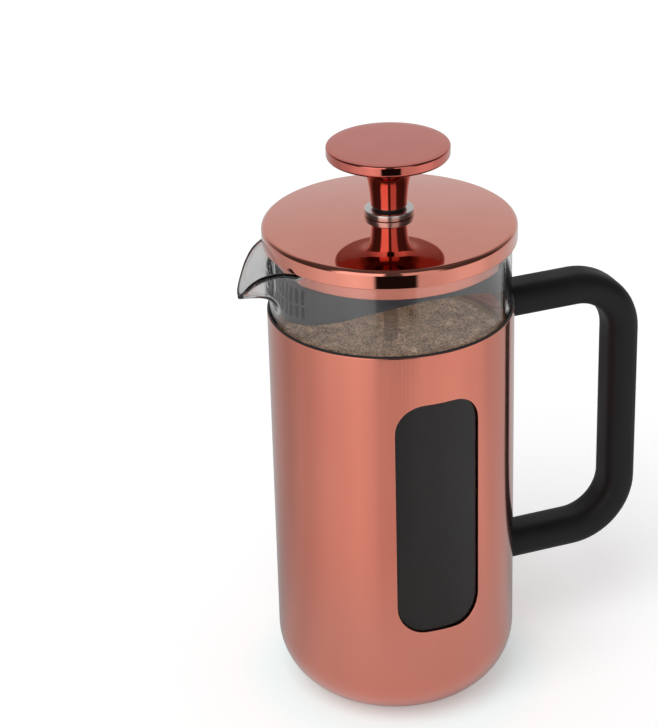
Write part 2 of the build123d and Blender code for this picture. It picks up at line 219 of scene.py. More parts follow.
def addFloor(s):
    mesh = bpy.data.meshes.new("floor")
    reach = s["floorReach"]
    corners = [(-reach, -reach), (reach, -reach), (reach, reach), (-reach, reach)]
    mesh.from_pydata([(x, y, s["floorHeight"]) for x, y in corners], [], [(0, 1, 2, 3)])
    floor = bpy.data.objects.new("floor", mesh)
    bpy.context.scene.collection.objects.link(floor)
    paper = bpy.data.materials.new("palePaperWithPaintedReflections")
    paper.use_nodes = True
    nodes, links = paper.node_tree.nodes, paper.node_tree.links
    seen = nodes["Principled BSDF"]
    seen.inputs["Roughness"].default_value = 0.9
    seen.inputs["Specular IOR Level"].default_value = 0.05
    seen.inputs["Emission Color"].default_value = (1, 1, 1, 1)
    seen.inputs["Emission Strength"].default_value = s["floorGlow"]
    coords = nodes.new("ShaderNodeTexCoord")
    share, parts = roundTheRoom(nodes, links, coords.outputs["Object"], s["cameraSide"])
    away = fromAxis(nodes, links, parts)
    colour = mixColours(nodes, links, smoothStep(nodes, links, away, *s["besideFootTo"]),
                        s["besideFoot"], s["floorColour"])
    links.new(colour, seen.inputs["Base Color"])
    # painted light and shade: the floor's level in reflections changes round the press and with
    # distance from it
    near = levelRamp(nodes, links, share, s["paintedLightNear"], 1.0)
    far = levelRamp(nodes, links, share, s["paintedLightFar"], 1.0)
    spread = mathNode(nodes, links, "SUBTRACT", far, near)
    farther = smoothStep(nodes, links, away, *s["paintedLightFrom"])
    level = mathNode(nodes, links, "MULTIPLY_ADD", spread, farther, near)
    # painted light further off, with the painted dark gap on the camera's side
    paintedLightBeyond = levelRamp(nodes, links, share, s["paintedLightBeyond"], s["beyondTop"])
    change = mathNode(nodes, links, "SUBTRACT", paintedLightBeyond, 1.0)
    farthest = smoothStep(nodes, links, away, *s["beyondFrom"])
    change = mathNode(nodes, links, "MULTIPLY_ADD", change, farthest, 1.0)
    level = mathNode(nodes, links, "MULTIPLY", level, change)
    # glossy rays see the floor at this painted level, lit and glowing
    paintedReflection = nodes.new("ShaderNodeBsdfDiffuse")
    links.new(level, paintedReflection.inputs["Color"])
    glow = nodes.new("ShaderNodeEmission")
    links.new(mathNode(nodes, links, "MULTIPLY", level, s["reflectedGlow"]), glow.inputs["Strength"])
    both = nodes.new("ShaderNodeAddShader")
    links.new(paintedReflection.outputs[0], both.inputs[0])
    links.new(glow.outputs[0], both.inputs[1])
    rays = nodes.new("ShaderNodeLightPath").outputs
    whole = mixShaders(nodes, links, rays["Is Glossy Ray"], seen.outputs[0], both.outputs[0])
    links.new(whole, nodes["Material Output"].inputs["Surface"])
    mesh.materials.append(paper)


def addStudio(s):
    addRoom(s)
    addKeyLight(s)
    addFloor(s)
    bpy.context.scene.view_settings.view_transform = "Standard"


addCamera(cameraSet)
addStudio(studioSet)
print("camera and studio set")


# ---- materials

def startMaterial(name, **values):
    material = bpy.data.materials.new(name)
    material.use_nodes = True
    shader = material.node_tree.nodes["Principled BSDF"]
    for socket, value in values.items():
        shader.inputs[socket.replace("_", " ")].default_value = value
    return material, material.node_tree.nodes, material.node_tree.links, shader


def stretchedNoise(nodes, links, scale, stretch, detail=3.0, roughness=0.55):
    coords = nodes.new("ShaderNodeTexCoord")
    mapping = nodes.new("ShaderNodeMapping")
    mapping.inputs["Scale"].default_value = stretch
    noise = nodes.new("ShaderNodeTexNoise")
    noise.inputs["Scale"].default_value = scale
    noise.inputs["Detail"].default_value = detail
    noise.inputs["Roughness"].default_value = roughness
    links.new(coords.outputs["Object"], mapping.inputs["Vector"])
    links.new(mapping.outputs["Vector"], noise.inputs["Vector"])
    return noise.outputs["Fac"]


def mapTo(nodes, links, value, low, high, fromLow=0.35, fromHigh=0.65):
    node = nodes.new("ShaderNodeMapRange")
    node.inputs["From Min"].default_value = fromLow
    node.inputs["From Max"].default_value = fromHigh
    node.inputs["To Min"].default_value = low
    node.inputs["To Max"].default_value = high
    links.new(value, node.inputs["Value"])
    return node.outputs["Result"]


def partsOf(nodes, links, coordinate):
    # the X, Y and Z of one kind of coordinate
    coords = nodes.new("ShaderNodeTexCoord")
    split = nodes.new("ShaderNodeSeparateXYZ")
    links.new(coords.outputs[coordinate], split.inputs[0])
    return split.outputs


def varyWith(nodes, links, shader, pattern, dark, light, roughness):
    # colour and roughness both follow the pattern
    tint = mixColours(nodes, links, mapTo(nodes, links, pattern, 0, 1), dark, light)
    links.new(tint, shader.inputs["Base Color"])
    links.new(mapTo(nodes, links, pattern, *roughness), shader.inputs["Roughness"])


def addBump(nodes, links, shader, height, strength, distance):
    bump = nodes.new("ShaderNodeBump")
    bump.inputs["Strength"].default_value = strength
    bump.inputs["Distance"].default_value = distance
    links.new(height, bump.inputs["Height"])
    links.new(bump.outputs["Normal"], shader.inputs["Normal"])


def makeSatinCopper():
    # lacquered plating with a fine upright grain and faint cloudiness, and a painted paler reflection
    # towards the foot
    material, nodes, links, shader = startMaterial("satinCopper", Metallic=1.0, Coat_Weight=0.9,
                                                   Coat_Roughness=0.10)
    grain = stretchedNoise(nodes, links, 1.0, (1500, 1500, 22), 4.0)
    cloud = stretchedNoise(nodes, links, 22.0, (1, 1, 0.5), 2.0)
    tint = mixColours(nodes, links, mapTo(nodes, links, cloud, 0, 1),
                      (0.78, 0.220, 0.146, 1), (0.81, 0.245, 0.164, 1))
    # painted reflection: the colour is paler below 35 mm and back to normal above 85 mm
    height = partsOf(nodes, links, "Object")["Z"]
    tint = mixColours(nodes, links, smoothStep(nodes, links, height, 0.035, 0.085),
                      (0.79, 0.265, 0.190, 1), tint)
    links.new(tint, shader.inputs["Base Color"])
    links.new(mapTo(nodes, links, grain, 0.10, 0.17), shader.inputs["Roughness"])
    addBump(nodes, links, shader, grain, 0.05, 0.00002)
    return material


def makePolishedCopper(name, dark, light, coat, under):
    # lacquered mirror plating with a trace of haze, and painted shade on undersides
    material, nodes, links, shader = startMaterial(name, Metallic=1.0, Coat_Weight=coat,
                                                   Coat_Roughness=0.03)
    haze = stretchedNoise(nodes, links, 60.0, (1, 1, 1), 3.0)
    tint = mixColours(nodes, links, mapTo(nodes, links, haze, 0, 1), dark, light)
    # painted shade: faces turned downward take the darker under colour
    facing = partsOf(nodes, links, "Normal")["Z"]
    tint = mixColours(nodes, links, smoothStep(nodes, links, facing, -0.85, -0.3), under, tint)
    links.new(tint, shader.inputs["Base Color"])
    links.new(mapTo(nodes, links, haze, 0.03, 0.06), shader.inputs["Roughness"])
    return material


def makeSteel():
    # bright turned steel with fine rings of tool marks
    material, nodes, links, shader = startMaterial("brightSteel", Metallic=1.0)
    marks = stretchedNoise(nodes, links, 1.0, (60, 60, 2600), 3.0)
    varyWith(nodes, links, shader, marks, (0.62, 0.60, 0.585, 1), (0.72, 0.70, 0.68, 1), (0.16, 0.28))
    addBump(nodes, links, shader, marks, 0.08, 0.00002)
    return material


def makeBlackPlastic():
    # soft-touch moulding: dense fine texture, faint wear from hands
    material, nodes, links, shader = startMaterial("softTouchBlack")
    shader.inputs["Specular IOR Level"].default_value = 0.24
    texture = stretchedNoise(nodes, links, 2600.0, (1, 1, 1), 2.0)
    wear = stretchedNoise(nodes, links, 45.0, (1, 1, 1), 3.0)
    varyWith(nodes, links, shader, wear, (0.0072, 0.0066, 0.0076, 1), (0.0095, 0.0088, 0.0098, 1),
             (0.46, 0.56))
    addBump(nodes, links, shader, texture, 0.16, 0.00004)
    return material


def makeGreyPlastic():
    material, nodes, links, shader = startMaterial("mouldedGrey")
    texture = stretchedNoise(nodes, links, 1800.0, (1, 1, 1), 2.0)
    cloud = stretchedNoise(nodes, links, 70.0, (1, 1, 1), 2.0)
    varyWith(nodes, links, shader, cloud, (0.070, 0.066, 0.072, 1), (0.084, 0.080, 0.087, 1),
             (0.42, 0.52))
    addBump(nodes, links, shader, texture, 0.10, 0.00003)
    return material


def makeNylon():
    material, nodes, links, shader = startMaterial("naturalNylon", Subsurface_Weight=0.2)
    shader.inputs["Subsurface Radius"].default_value = (0.001, 0.001, 0.001)
    cloud = stretchedNoise(nodes, links, 300.0, (1, 1, 1), 2.0)
    varyWith(nodes, links, shader, cloud, (0.66, 0.64, 0.58, 1), (0.72, 0.70, 0.64, 1), (0.35, 0.45))
    return material


def makeSilicone():
    material, nodes, links, shader = startMaterial("darkSilicone")
    shader.inputs["IOR"].default_value = 1.41
    cloud = stretchedNoise(nodes, links, 500.0, (1, 1, 1), 2.0)
    varyWith(nodes, links, shader, cloud, (0.012, 0.011, 0.011, 1), (0.018, 0.016, 0.016, 1),
             (0.40, 0.55))
    return material


def makeGlass():
    # clear borosilicate with the slightest unevenness of drawn glass
    material, nodes, links, shader = startMaterial("clearGlass", Transmission_Weight=1.0)
    shader.inputs["Base Color"].default_value = (0.985, 0.99, 0.988, 1)
    shader.inputs["IOR"].default_value = 1.47
    shader.inputs["Roughness"].default_value = 0.0
    ripple = stretchedNoise(nodes, links, 55.0, (1, 1, 0.35), 1.0)
    addBump(nodes, links, shader, ripple, 0.06, 0.0003)
    return material


def makeBrass():
    material, nodes, links, shader = startMaterial("turnedBrass", Metallic=1.0)
    marks = stretchedNoise(nodes, links, 1.0, (80, 80, 2200), 3.0)
    varyWith(nodes, links, shader, marks, (0.74, 0.54, 0.23, 1), (0.82, 0.62, 0.30, 1), (0.22, 0.34))
    return material


satinCopper = makeSatinCopper()
# the last colour of each copper is the painted shade on its downward faces
polishedCopper = makePolishedCopper("polishedCopper", (0.77, 0.245, 0.168, 1),
                                    (0.79, 0.262, 0.182, 1), 1.0, (0.60, 0.19, 0.13, 1))
# the knob's copy of the polished copper, darker all over and with less coat: painted shade on the knob
shadedKnobCopper = makePolishedCopper("shadedKnobCopper", (0.65, 0.148, 0.110, 1),
                                (0.67, 0.160, 0.118, 1), 0.55, (0.36, 0.09, 0.07, 1))
brightSteel = makeSteel()
softTouchBlack = makeBlackPlastic()
mouldedGrey = makeGreyPlastic()
naturalNylon = makeNylon()
darkSilicone = makeSilicone()
clearGlass = makeGlass()
turnedBrass = makeBrass()
print("materials made")


# ---- tools for making pieces

def nodeBox(node):
    low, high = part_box(node)
    return low / mm, high / mm


def radiusOf(node):
    return nodeBox(node)[1].x


def smoothThrough(keys, steps):
    # Catmull-Rom curve through the keys, as tuples of any length
    points = []
    ends = [keys[0]] + list(keys) + [keys[-1]]
    for a, b, c, d in zip(ends, ends[1:], ends[2:], ends[3:]):
        for k in range(steps):
            t = k / steps
            points.append(tuple(
                0.5 * (2 * q + (r - p) * t + (2 * p - 5 * q + 4 * r - s) * t * t
                       + (3 * q - p - 3 * r + s) * t ** 3)
                for p, q, r, s in zip(a, b, c, d)))
    points.append(tuple(keys[-1]))
    return points


def arcPoints(centre, radius, fromAngle, toAngle, steps):
    angles = [math.radians(fromAngle + (toAngle - fromAngle) * k / steps) for k in range(steps + 1)]
    return [(centre[0] + radius * math.cos(a), centre[1] + radius * math.sin(a)) for a in angles]


def roundCorners(corners, steps=4):
    # corners are (radius, height, rounding) round a closed outline
    points = []
    for i, (x, z, rounding) in enumerate(corners):
        here = Vector((x, z))
        if rounding <= 0:
            points.append((x, z))
            continue
        back = (Vector(corners[i - 1][:2]) - here).normalized()
        ahead = (Vector(corners[(i + 1) % len(corners)][:2]) - here).normalized()
        half = back.angle(ahead) / 2
        centre = here + (back + ahead).normalized() * rounding / math.sin(half)
        start = here + back * rounding / math.tan(half) - centre
        turn = -start.angle_signed(here + ahead * rounding / math.tan(half) - centre)
        for k in range(steps + 1):
            a = turn * k / steps
            points.append((centre.x + start.x * math.cos(a) - start.y * math.sin(a),
                           centre.y + start.x * math.sin(a) + start.y * math.cos(a)))
    return points


def toObject(name, mesh, recalculate=True, sharpAngle=38.0):
    # a finished bmesh in millimetres becomes an object in metres, shaded smooth by angle
    bmesh.ops.remove_doubles(mesh, verts=mesh.verts, dist=0.0005)
    if recalculate:
        bmesh.ops.recalc_face_normals(mesh, faces=mesh.faces)
    bmesh.ops.scale(mesh, vec=(mm, mm, mm), verts=mesh.verts)
    data = bpy.data.meshes.new(name)
    mesh.to_mesh(data)
    mesh.free()
    data.polygons.foreach_set("use_smooth", [True] * len(data.polygons))
    data.set_sharp_from_angle(angle=math.radians(sharpAngle))
    piece = bpy.data.objects.new(name, data)
    bpy.context.scene.collection.objects.link(piece)
    return piece


def plainMesh(piece):
    # what the modifiers make becomes the mesh, and the modifiers go
    bpy.context.view_layer.update()
    graph = bpy.context.evaluated_depsgraph_get()
    solid = bpy.data.meshes.new_from_object(piece.evaluated_get(graph))
    piece.modifiers.clear()
    piece.data = solid


def thicken(piece, wall, evenOffset=False):
    thick = piece.modifiers.new("wall", "SOLIDIFY")
    thick.thickness = wall * mm
    thick.offset = -1
    thick.use_even_offset = evenOffset


def softenEdges(piece, width, sharperThan):
    bevel = piece.modifiers.new("edges", "BEVEL")
    bevel.width = width * mm
    bevel.segments = 2
    bevel.limit_method = "ANGLE"
    bevel.angle_limit = math.radians(sharperThan)


def joinRings(mesh, lower, upper):
    # faces between two closed rings
    for k in range(len(lower)):
        n = (k + 1) % len(lower)
        mesh.faces.new((lower[k], lower[n], upper[n], upper[k]))


def spin(mesh, outline, turns):
    # the outline is a closed list of (radius, height), spun about the upright axis
    rings = []
    for radius, height in outline:
        if radius < 1e-6:
            rings.append([mesh.verts.new((0, 0, height))] * turns)
            continue
        rings.append([mesh.verts.new((radius * math.cos(2 * math.pi * k / turns),
                                      radius * math.sin(2 * math.pi * k / turns), height))
                      for k in range(turns)])
    for lower, upper in zip(rings, rings[1:] + rings[:1]):
        for k in range(turns):
            quad = [lower[k], lower[(k + 1) % turns], upper[(k + 1) % turns], upper[k]]
            corners = list(dict.fromkeys(quad))
            if len(corners) > 2:
                mesh.faces.new(corners)


def turned(name, outline, turns=128, sharpAngle=38.0):
    mesh = bmesh.new()
    spin(mesh, outline, turns)
    return toObject(name, mesh, sharpAngle=sharpAngle)


def dress(piece, body, slotName, material, *replacedNodes):
    piece.data.materials.clear()
    piece.data.materials.append(material)
    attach(piece, body)
    if replacedNodes:
        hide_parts(*replacedNodes)
    return piece


def dressNode(node, material):
    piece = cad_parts[node]
    piece.data.materials.clear()
    piece.data.materials.append(material)


# ---- sleeve: a rounded cup with two window cut-outs

sleeveSet = {
    "wall": 0.6,
    "corner": 26.0,
    "windowTurn": 21.06,  # half width of a window, in degrees round the axis
    "windowLow": 46.8,
    "windowHigh": 149.5,
    "windowCorner": 12.0,
    "patchTurn": 30.0,
    "patchMargin": 11.0,
    "windowsAt": (-90, 90),
    "columns": 144,
    "rows": 40,  # beside a window
    "plainRows": 3,  # under and over it
    "loops": 7,
    "loopSpread": 0.8,
    "lastLoop": 0.96,  # distance to the window, as a share, of the loop that keeps its edge crisp
    "footSteps": 14,
    "baseRings": (0.9, 0.6, 0.3),
    "hold": 0.4,
    "edgeRounding": 0.14,
    "sharperThan": 50,
}


def roundedWindow(halfWidth, halfHeight, corner, across, up):
    # points round the window, four sides that each run from the middle of one corner to the next
    def cornerPoint(sx, sz, angle):
        cx, cz = sx * (halfWidth - corner), sz * (halfHeight - corner)
        a = math.radians(angle)
        return (cx + corner * math.cos(a), cz + corner * math.sin(a))

    def side(fromCorner, toCorner, startAngle, count):
        # an eighth of a turn, a straight run and another eighth, evenly spaced
        arc = corner * math.pi / 4
        a = cornerPoint(*fromCorner, startAngle + 45)
        b = cornerPoint(*toCorner, startAngle + 45)
        straight = math.dist(a, b)
        total = 2 * arc + straight
        points = []
        for k in range(count):
            s = total * k / count
            if s < arc:
                points.append(cornerPoint(*fromCorner, startAngle + 45 * s / arc))
            elif s < arc + straight:
                t = (s - arc) / straight
                points.append((a[0] + (b[0] - a[0]) * t, a[1] + (b[1] - a[1]) * t))
            else:
                past = 45 * (s - arc - straight) / arc
                points.append(cornerPoint(*toCorner, startAngle + 45 + past))
        return points

    bottom = side((-1, -1), (1, -1), 225, across)
    right = side((1, -1), (1, 1), 315, up)
    top = side((1, 1), (-1, 1), 45, across)
    left = side((-1, 1), (-1, -1), 135, up)
    return bottom + right + top + left


def makeSleeve(s):
    high = nodeBox("sleeve")[1]
    radius, top = high.x, high.z
    columns, rows, plain = s["columns"], s["rows"], s["plainRows"]
    step = 360 / columns
    across = round(2 * s["patchTurn"] / step)
    patchLow, patchHigh = s["windowLow"] - s["patchMargin"], s["windowHigh"] + s["patchMargin"]
    heights = [s["corner"] + (patchLow - s["corner"]) * k / plain for k in range(plain)]
    heights += [patchLow + (patchHigh - patchLow) * k / rows for k in range(rows + 1)]
    heights += [patchHigh + (top - patchHigh) * k / plain for k in range(1, plain)]
    heights += [top - s["hold"], top]
    mesh = bmesh.new()

    def wallPoint(angle, height):
        a = math.radians(angle)
        return (radius * math.cos(a), radius * math.sin(a), height)

    def inPatch(angle, row):
        if not plain <= row < plain + rows:
            return False
        return any(abs((angle - w + 180) % 360 - 180) < s["patchTurn"] for w in s["windowsAt"])

    grid = [[mesh.verts.new(wallPoint(step * c, h)) for c in range(columns)] for h in heights]
    for row in range(len(heights) - 1):
        for c in range(columns):
            if inPatch(step * (c + 0.5), row):
                continue
            n = (c + 1) % columns
            mesh.faces.new((grid[row][c], grid[row][n], grid[row + 1][n], grid[row + 1][c]))
    # loops of faces that lead from each patch's square edge to its window
    halfArc = math.radians(s["windowTurn"]) * radius
    patchArc = math.radians(s["patchTurn"]) * radius
    midHeight = (patchLow + patchHigh) / 2
    halfWindow = (s["windowHigh"] - s["windowLow"]) / 2
    inner = roundedWindow(halfArc, halfWindow, s["windowCorner"], across, rows)
    halfPatch = (patchHigh - patchLow) / 2
    outer = [(-patchArc + 2 * patchArc * k / across, -halfPatch) for k in range(across)]
    outer += [(patchArc, -halfPatch + 2 * halfPatch * k / rows) for k in range(rows)]
    outer += [(patchArc - 2 * patchArc * k / across, halfPatch) for k in range(across)]
    outer += [(-patchArc, halfPatch - 2 * halfPatch * k / rows) for k in range(rows)]
    shares = [(k / s["loops"]) ** s["loopSpread"] for k in range(s["loops"])] + [s["lastLoop"], 1.0]
    for window in s["windowsAt"]:
        loops = []
        for t in shares:
            ring = []
            for (ax, az), (bx, bz) in zip(outer, inner):
                x, z = ax + (bx - ax) * t, az + (bz - az) * t
                angle = window + math.degrees(x / radius)
                ring.append(mesh.verts.new(wallPoint(angle, midHeight + z)))
            loops.append(ring)
        for lower, upper in zip(loops, loops[1:]):
            joinRings(mesh, lower, upper)
    # rounded foot and flat base
    foot = arcPoints((radius - s["corner"], s["corner"]), s["corner"], 0, -90, s["footSteps"])
    profile = foot[1:] + [((radius - s["corner"]) * k, 0.0) for k in s["baseRings"]]
    turns = [math.radians(step * c) for c in range(columns)]
    above = grid[0]
    for r, z in profile:
        ring = [mesh.verts.new((r * math.cos(a), r * math.sin(a), z)) for a in turns]
        joinRings(mesh, above, ring)
        above = ring
    middle = mesh.verts.new((0, 0, 0))
    for c in range(columns):
        mesh.faces.new((above[c], above[(c + 1) % columns], middle))
    piece = toObject("sleeveCup", mesh)
    thicken(piece, s["wall"], evenOffset=True)
    softenEdges(piece, s["edgeRounding"], s["sharperThan"])
    return dress(piece, "sleeve_and_handle", "satin_copper", satinCopper, "sleeve")


makeSleeve(sleeveSet)
print("sleeve made")


# ---- beaker: drawn glass with a drooping spout

beakerSet = {
    "wall": 2.2,
    "base": 2.6,
    "corner": 24.95,
    "spoutTurn": 31.0,  # half width of the spout where it leaves the wall, in degrees
    "spoutRoot": 173.5,
    # outer edge of the mouth from the tip to the wall: reach, side, height
    "mouth": [(62.9, 0.0, 184.9), (62.1, 3.4, 187.0), (59.7, 6.3, 191.3), (56.8, 9.8, 194.9),
              (52.8, 14.1, 197.6), (49.4, 17.4, 198.4), (46.3, 20.5, 198.5), (43.7, 22.4, 199.6),
              (41.3, 24.83, 201.9)],
    # which way the glass runs as it reaches the mouth, from the tip to the wall
    "leaning": [(1.0, 0.0, 0.10), (0.75, 0.35, 0.55), (0.45, 0.38, 0.80), (0.25, 0.25, 0.93),
                (0.0, 0.0, 1.0)],
    "rootUnderRim": 3.0,  # where the spout's root has risen to beside the wall
    "pulls": (0.62, 0.42),  # reach of the curve's handles at the wall and at the mouth
    "baseRings": (0.35, 0.7),
    "cornerSteps": 14,
    "mouthSteps": 12,
    "leaningSteps": 8,
    "spoutColumns": 40,
    "wallColumns": 112,
    "spoutRows": 26,
    "wallRows": 10,
    "capRows": 6,
}


def alongKeys(points, t):
    position = t * (len(points) - 1)
    k = min(int(position), len(points) - 2)
    a, b = np.array(points[k]), np.array(points[k + 1])
    return a + (b - a) * (position - k)


def makeBeaker(s):
    low, high = nodeBox("beaker")
    radius, floor, rim = high.x, low.z, high.z
    capRadius = s["wall"] / 2
    spoutTurn = math.radians(s["spoutTurn"])
    mouth = smoothThrough(s["mouth"], s["mouthSteps"])
    leaning = smoothThrough(s["leaning"], s["leaningSteps"])
    cornerCentre = (radius - s["corner"], floor + s["corner"])
    corner = arcPoints(cornerCentre, s["corner"], -90, 0, s["cornerSteps"])
    baseRun = [(0.0, floor)] + [(corner[0][0] * k, floor) for k in s["baseRings"]] + corner
    spoutAngles = [spoutTurn * (k / s["spoutColumns"] - 1) for k in range(2 * s["spoutColumns"])]
    rest = 2 * math.pi - 2 * spoutTurn
    angles = spoutAngles + [spoutTurn + rest * k / s["wallColumns"] for k in range(s["wallColumns"])]
    firstPull, secondPull = s["pulls"]
    columns, arrivals = [], []
    for angle in angles:
        share = min(abs(angle), spoutTurn) / spoutTurn  # 0 at the spout's middle, 1 at the wall
        towards = np.array([math.cos(angle), math.sin(angle), 0.0])
        root = s["spoutRoot"] + (rim - s["rootUnderRim"] - s["spoutRoot"]) * share ** 2
        column = [towards * r + np.array([0, 0, z]) for r, z in baseRun]
        top = baseRun[-1][1]
        column += [towards * radius + np.array([0, 0, top + (root - top) * k / s["wallRows"]])
                   for k in range(1, s["wallRows"] + 1)]
        start = column[-1]
        if share < 1:
            side = np.array([1, 1 if angle > 0 else -1, 1])
            end = alongKeys(mouth, share) * side
            lean = alongKeys(leaning, share) * side
        else:
            end = towards * radius + np.array([0, 0, rim - capRadius])
            lean = np.array([0.0, 0.0, 1.0])
        lean = lean / np.linalg.norm(lean)
        span = np.linalg.norm(end - start)
        first = start + np.array([0, 0, firstPull * span])
        second = end - lean * secondPull * span
        for k in range(1, s["spoutRows"] + 1):
            t = k / s["spoutRows"]
            column.append((1 - t) ** 3 * start + 3 * t * (1 - t) ** 2 * first
                          + 3 * t * t * (1 - t) * second + t ** 3 * end)
        columns.append(column)
        arrivals.append(lean)
    outer = np.array(columns)
    # the inside follows the outside at the glass's thickness
    alongColumn = np.gradient(outer, axis=1)
    alongRow = np.roll(outer, -1, axis=0) - np.roll(outer, 1, axis=0)
    normals = np.cross(alongRow, alongColumn)
    normals[:, 0] = (0, 0, -1)
    lengths = np.linalg.norm(normals, axis=2, keepdims=True)
    normals = normals / np.maximum(lengths, 1e-9)
    thickness = np.full(outer.shape[1], s["wall"])
    cornerRows = len(baseRun)
    thickness[:cornerRows] = np.linspace(s["base"], s["wall"], cornerRows)
    inner = outer - normals * thickness[None, :, None]
    mesh = bmesh.new()
    bottomOut = mesh.verts.new((0, 0, floor))
    bottomIn = mesh.verts.new((0, 0, floor + s["base"]))
    rings = []
    for c in range(len(angles)):
        outEnd, inEnd = outer[c, -1], inner[c, -1]
        middle = (outEnd + inEnd) / 2
        out = outEnd - middle
        cap = [middle + out * math.cos(math.pi * k / s["capRows"])
               + arrivals[c] * capRadius * math.sin(math.pi * k / s["capRows"])
               for k in range(1, s["capRows"])]
        line = list(outer[c, 1:]) + cap + list(inner[c, :0:-1])
        # the spout points to -X
        rings.append([mesh.verts.new((-p[0], -p[1], p[2])) for p in line])
    for a, b in zip(rings, rings[1:] + rings[:1]):
        mesh.faces.new((bottomOut, b[0], a[0]))
        mesh.faces.new((bottomIn, a[-1], b[-1]))
        for k in range(len(a) - 1):
            mesh.faces.new((a[k], b[k], b[k + 1], a[k + 1]))
    piece = toObject("glassBeaker", mesh, sharpAngle=180)
    return dress(piece, "beaker", "clear_glass", clearGlass, "beaker")


makeBeaker(beakerSet)
print("beaker made")


# ---- lid

lidSet = {
    "sheet": 0.9,
    "edge": 2.1,
    "rise": 2.85,
    "hole": 5.1,
    "hem": 0.42,
    "hold": 0.12,  # distance of the rings that keep the flat faces flat beside a rounding
    "domeRings": 18,
    "sharpAngle": 50,
    "bandGap": 0.2,  # outward of the strainer insert
    "bandWall": 0.6,
    "bandFlange": 0.9,
    "bandRoundings": (0.2, 0.25, 0.3, 0.2, 0.2, 0.3),
}


def makeLidCap(s):
    low, high = nodeBox("lid_cap")
    radius, lip = high.x, low.z
    domeRadius = radius - s["edge"]
    crown = high.z
    edgeTop = crown - s["rise"] * (1 - (s["hole"] / domeRadius) ** 2)

    def domeHeight(r):
        return edgeTop + s["rise"] * (1 - (r / domeRadius) ** 2)

    rings = s["domeRings"]
    dome = [s["hole"] + (domeRadius - s["hole"]) * k / rings for k in range(rings)]
    centre = (domeRadius, edgeTop - s["edge"])
    outline = [(r, domeHeight(r)) for r in dome]
    outline += [(domeRadius - s["hold"], domeHeight(domeRadius - s["hold"]))]
    outline += arcPoints(centre, s["edge"], 90, 0, 10)
    outline += [(radius, centre[1] - s["hold"]), (radius, lip + s["hem"] + s["hold"])]
    hemCentre = radius - s["hem"]
    outline += arcPoints((hemCentre, lip + s["hem"]), s["hem"], 0, -180, 8)
    outline += [(radius - s["sheet"], lip + 2.2 * s["hem"])]
    outline += arcPoints(centre, s["edge"] - s["sheet"], 0, 90, 6)
    outline += [(r, domeHeight(r) - s["sheet"]) for r in reversed(dome)]
    piece = turned("lidCap", outline, 192, sharpAngle=s["sharpAngle"])
    return dress(piece, "lid", "polished_copper", polishedCopper, "lid_cap")


def makeLidBand(s):
    low, high = nodeBox("lid_band")
    band = radiusOf("strainer_insert") + s["bandGap"]
    bore = band - s["bandWall"]
    flange = high.z - s["bandFlange"]
    corners = [(bore, low.z), (band, low.z), (band, flange), (high.x, flange), (high.x, high.z),
               (bore, high.z)]
    rounded = [(r, z, rounding) for (r, z), rounding in zip(corners, s["bandRoundings"])]
    piece = turned("lidBand", roundCorners(rounded), 160)
    return dress(piece, "lid", "polished_copper", polishedCopper, "lid_band")


makeLidCap(lidSet)
makeLidBand(lidSet)
print("lid made")


# ---- strainer insert: a skirt with a falling edge and two rows of slots

strainerSet = {
    "wall": 1.6,
    "sideLow": 192.3,
    "drop": 17.3,
    "neckTop": 193.9,
    "slotPitch": 4.75,
    "slotColumns": 10,
    "slotShare": 0.5,
    # heights above the skirt's lowest edge: each row of slots, and the rows of points between
    "rowLow": (3.2, 8.4),
    "rowHigh": (9.8, 17.0),
    "underRows": 1.6,
    "withinHigh": (12.5, 15.0),
    "plainColumns": 130,
    "boreRadius": 5.1,
    "bossRadius": 9.0,
    "web": 1.6,
    "webOverlap": 0.02,
    "neckStep": 0.45,
    "edgeRounding": 0.22,
    "sharperThan": 50,
}


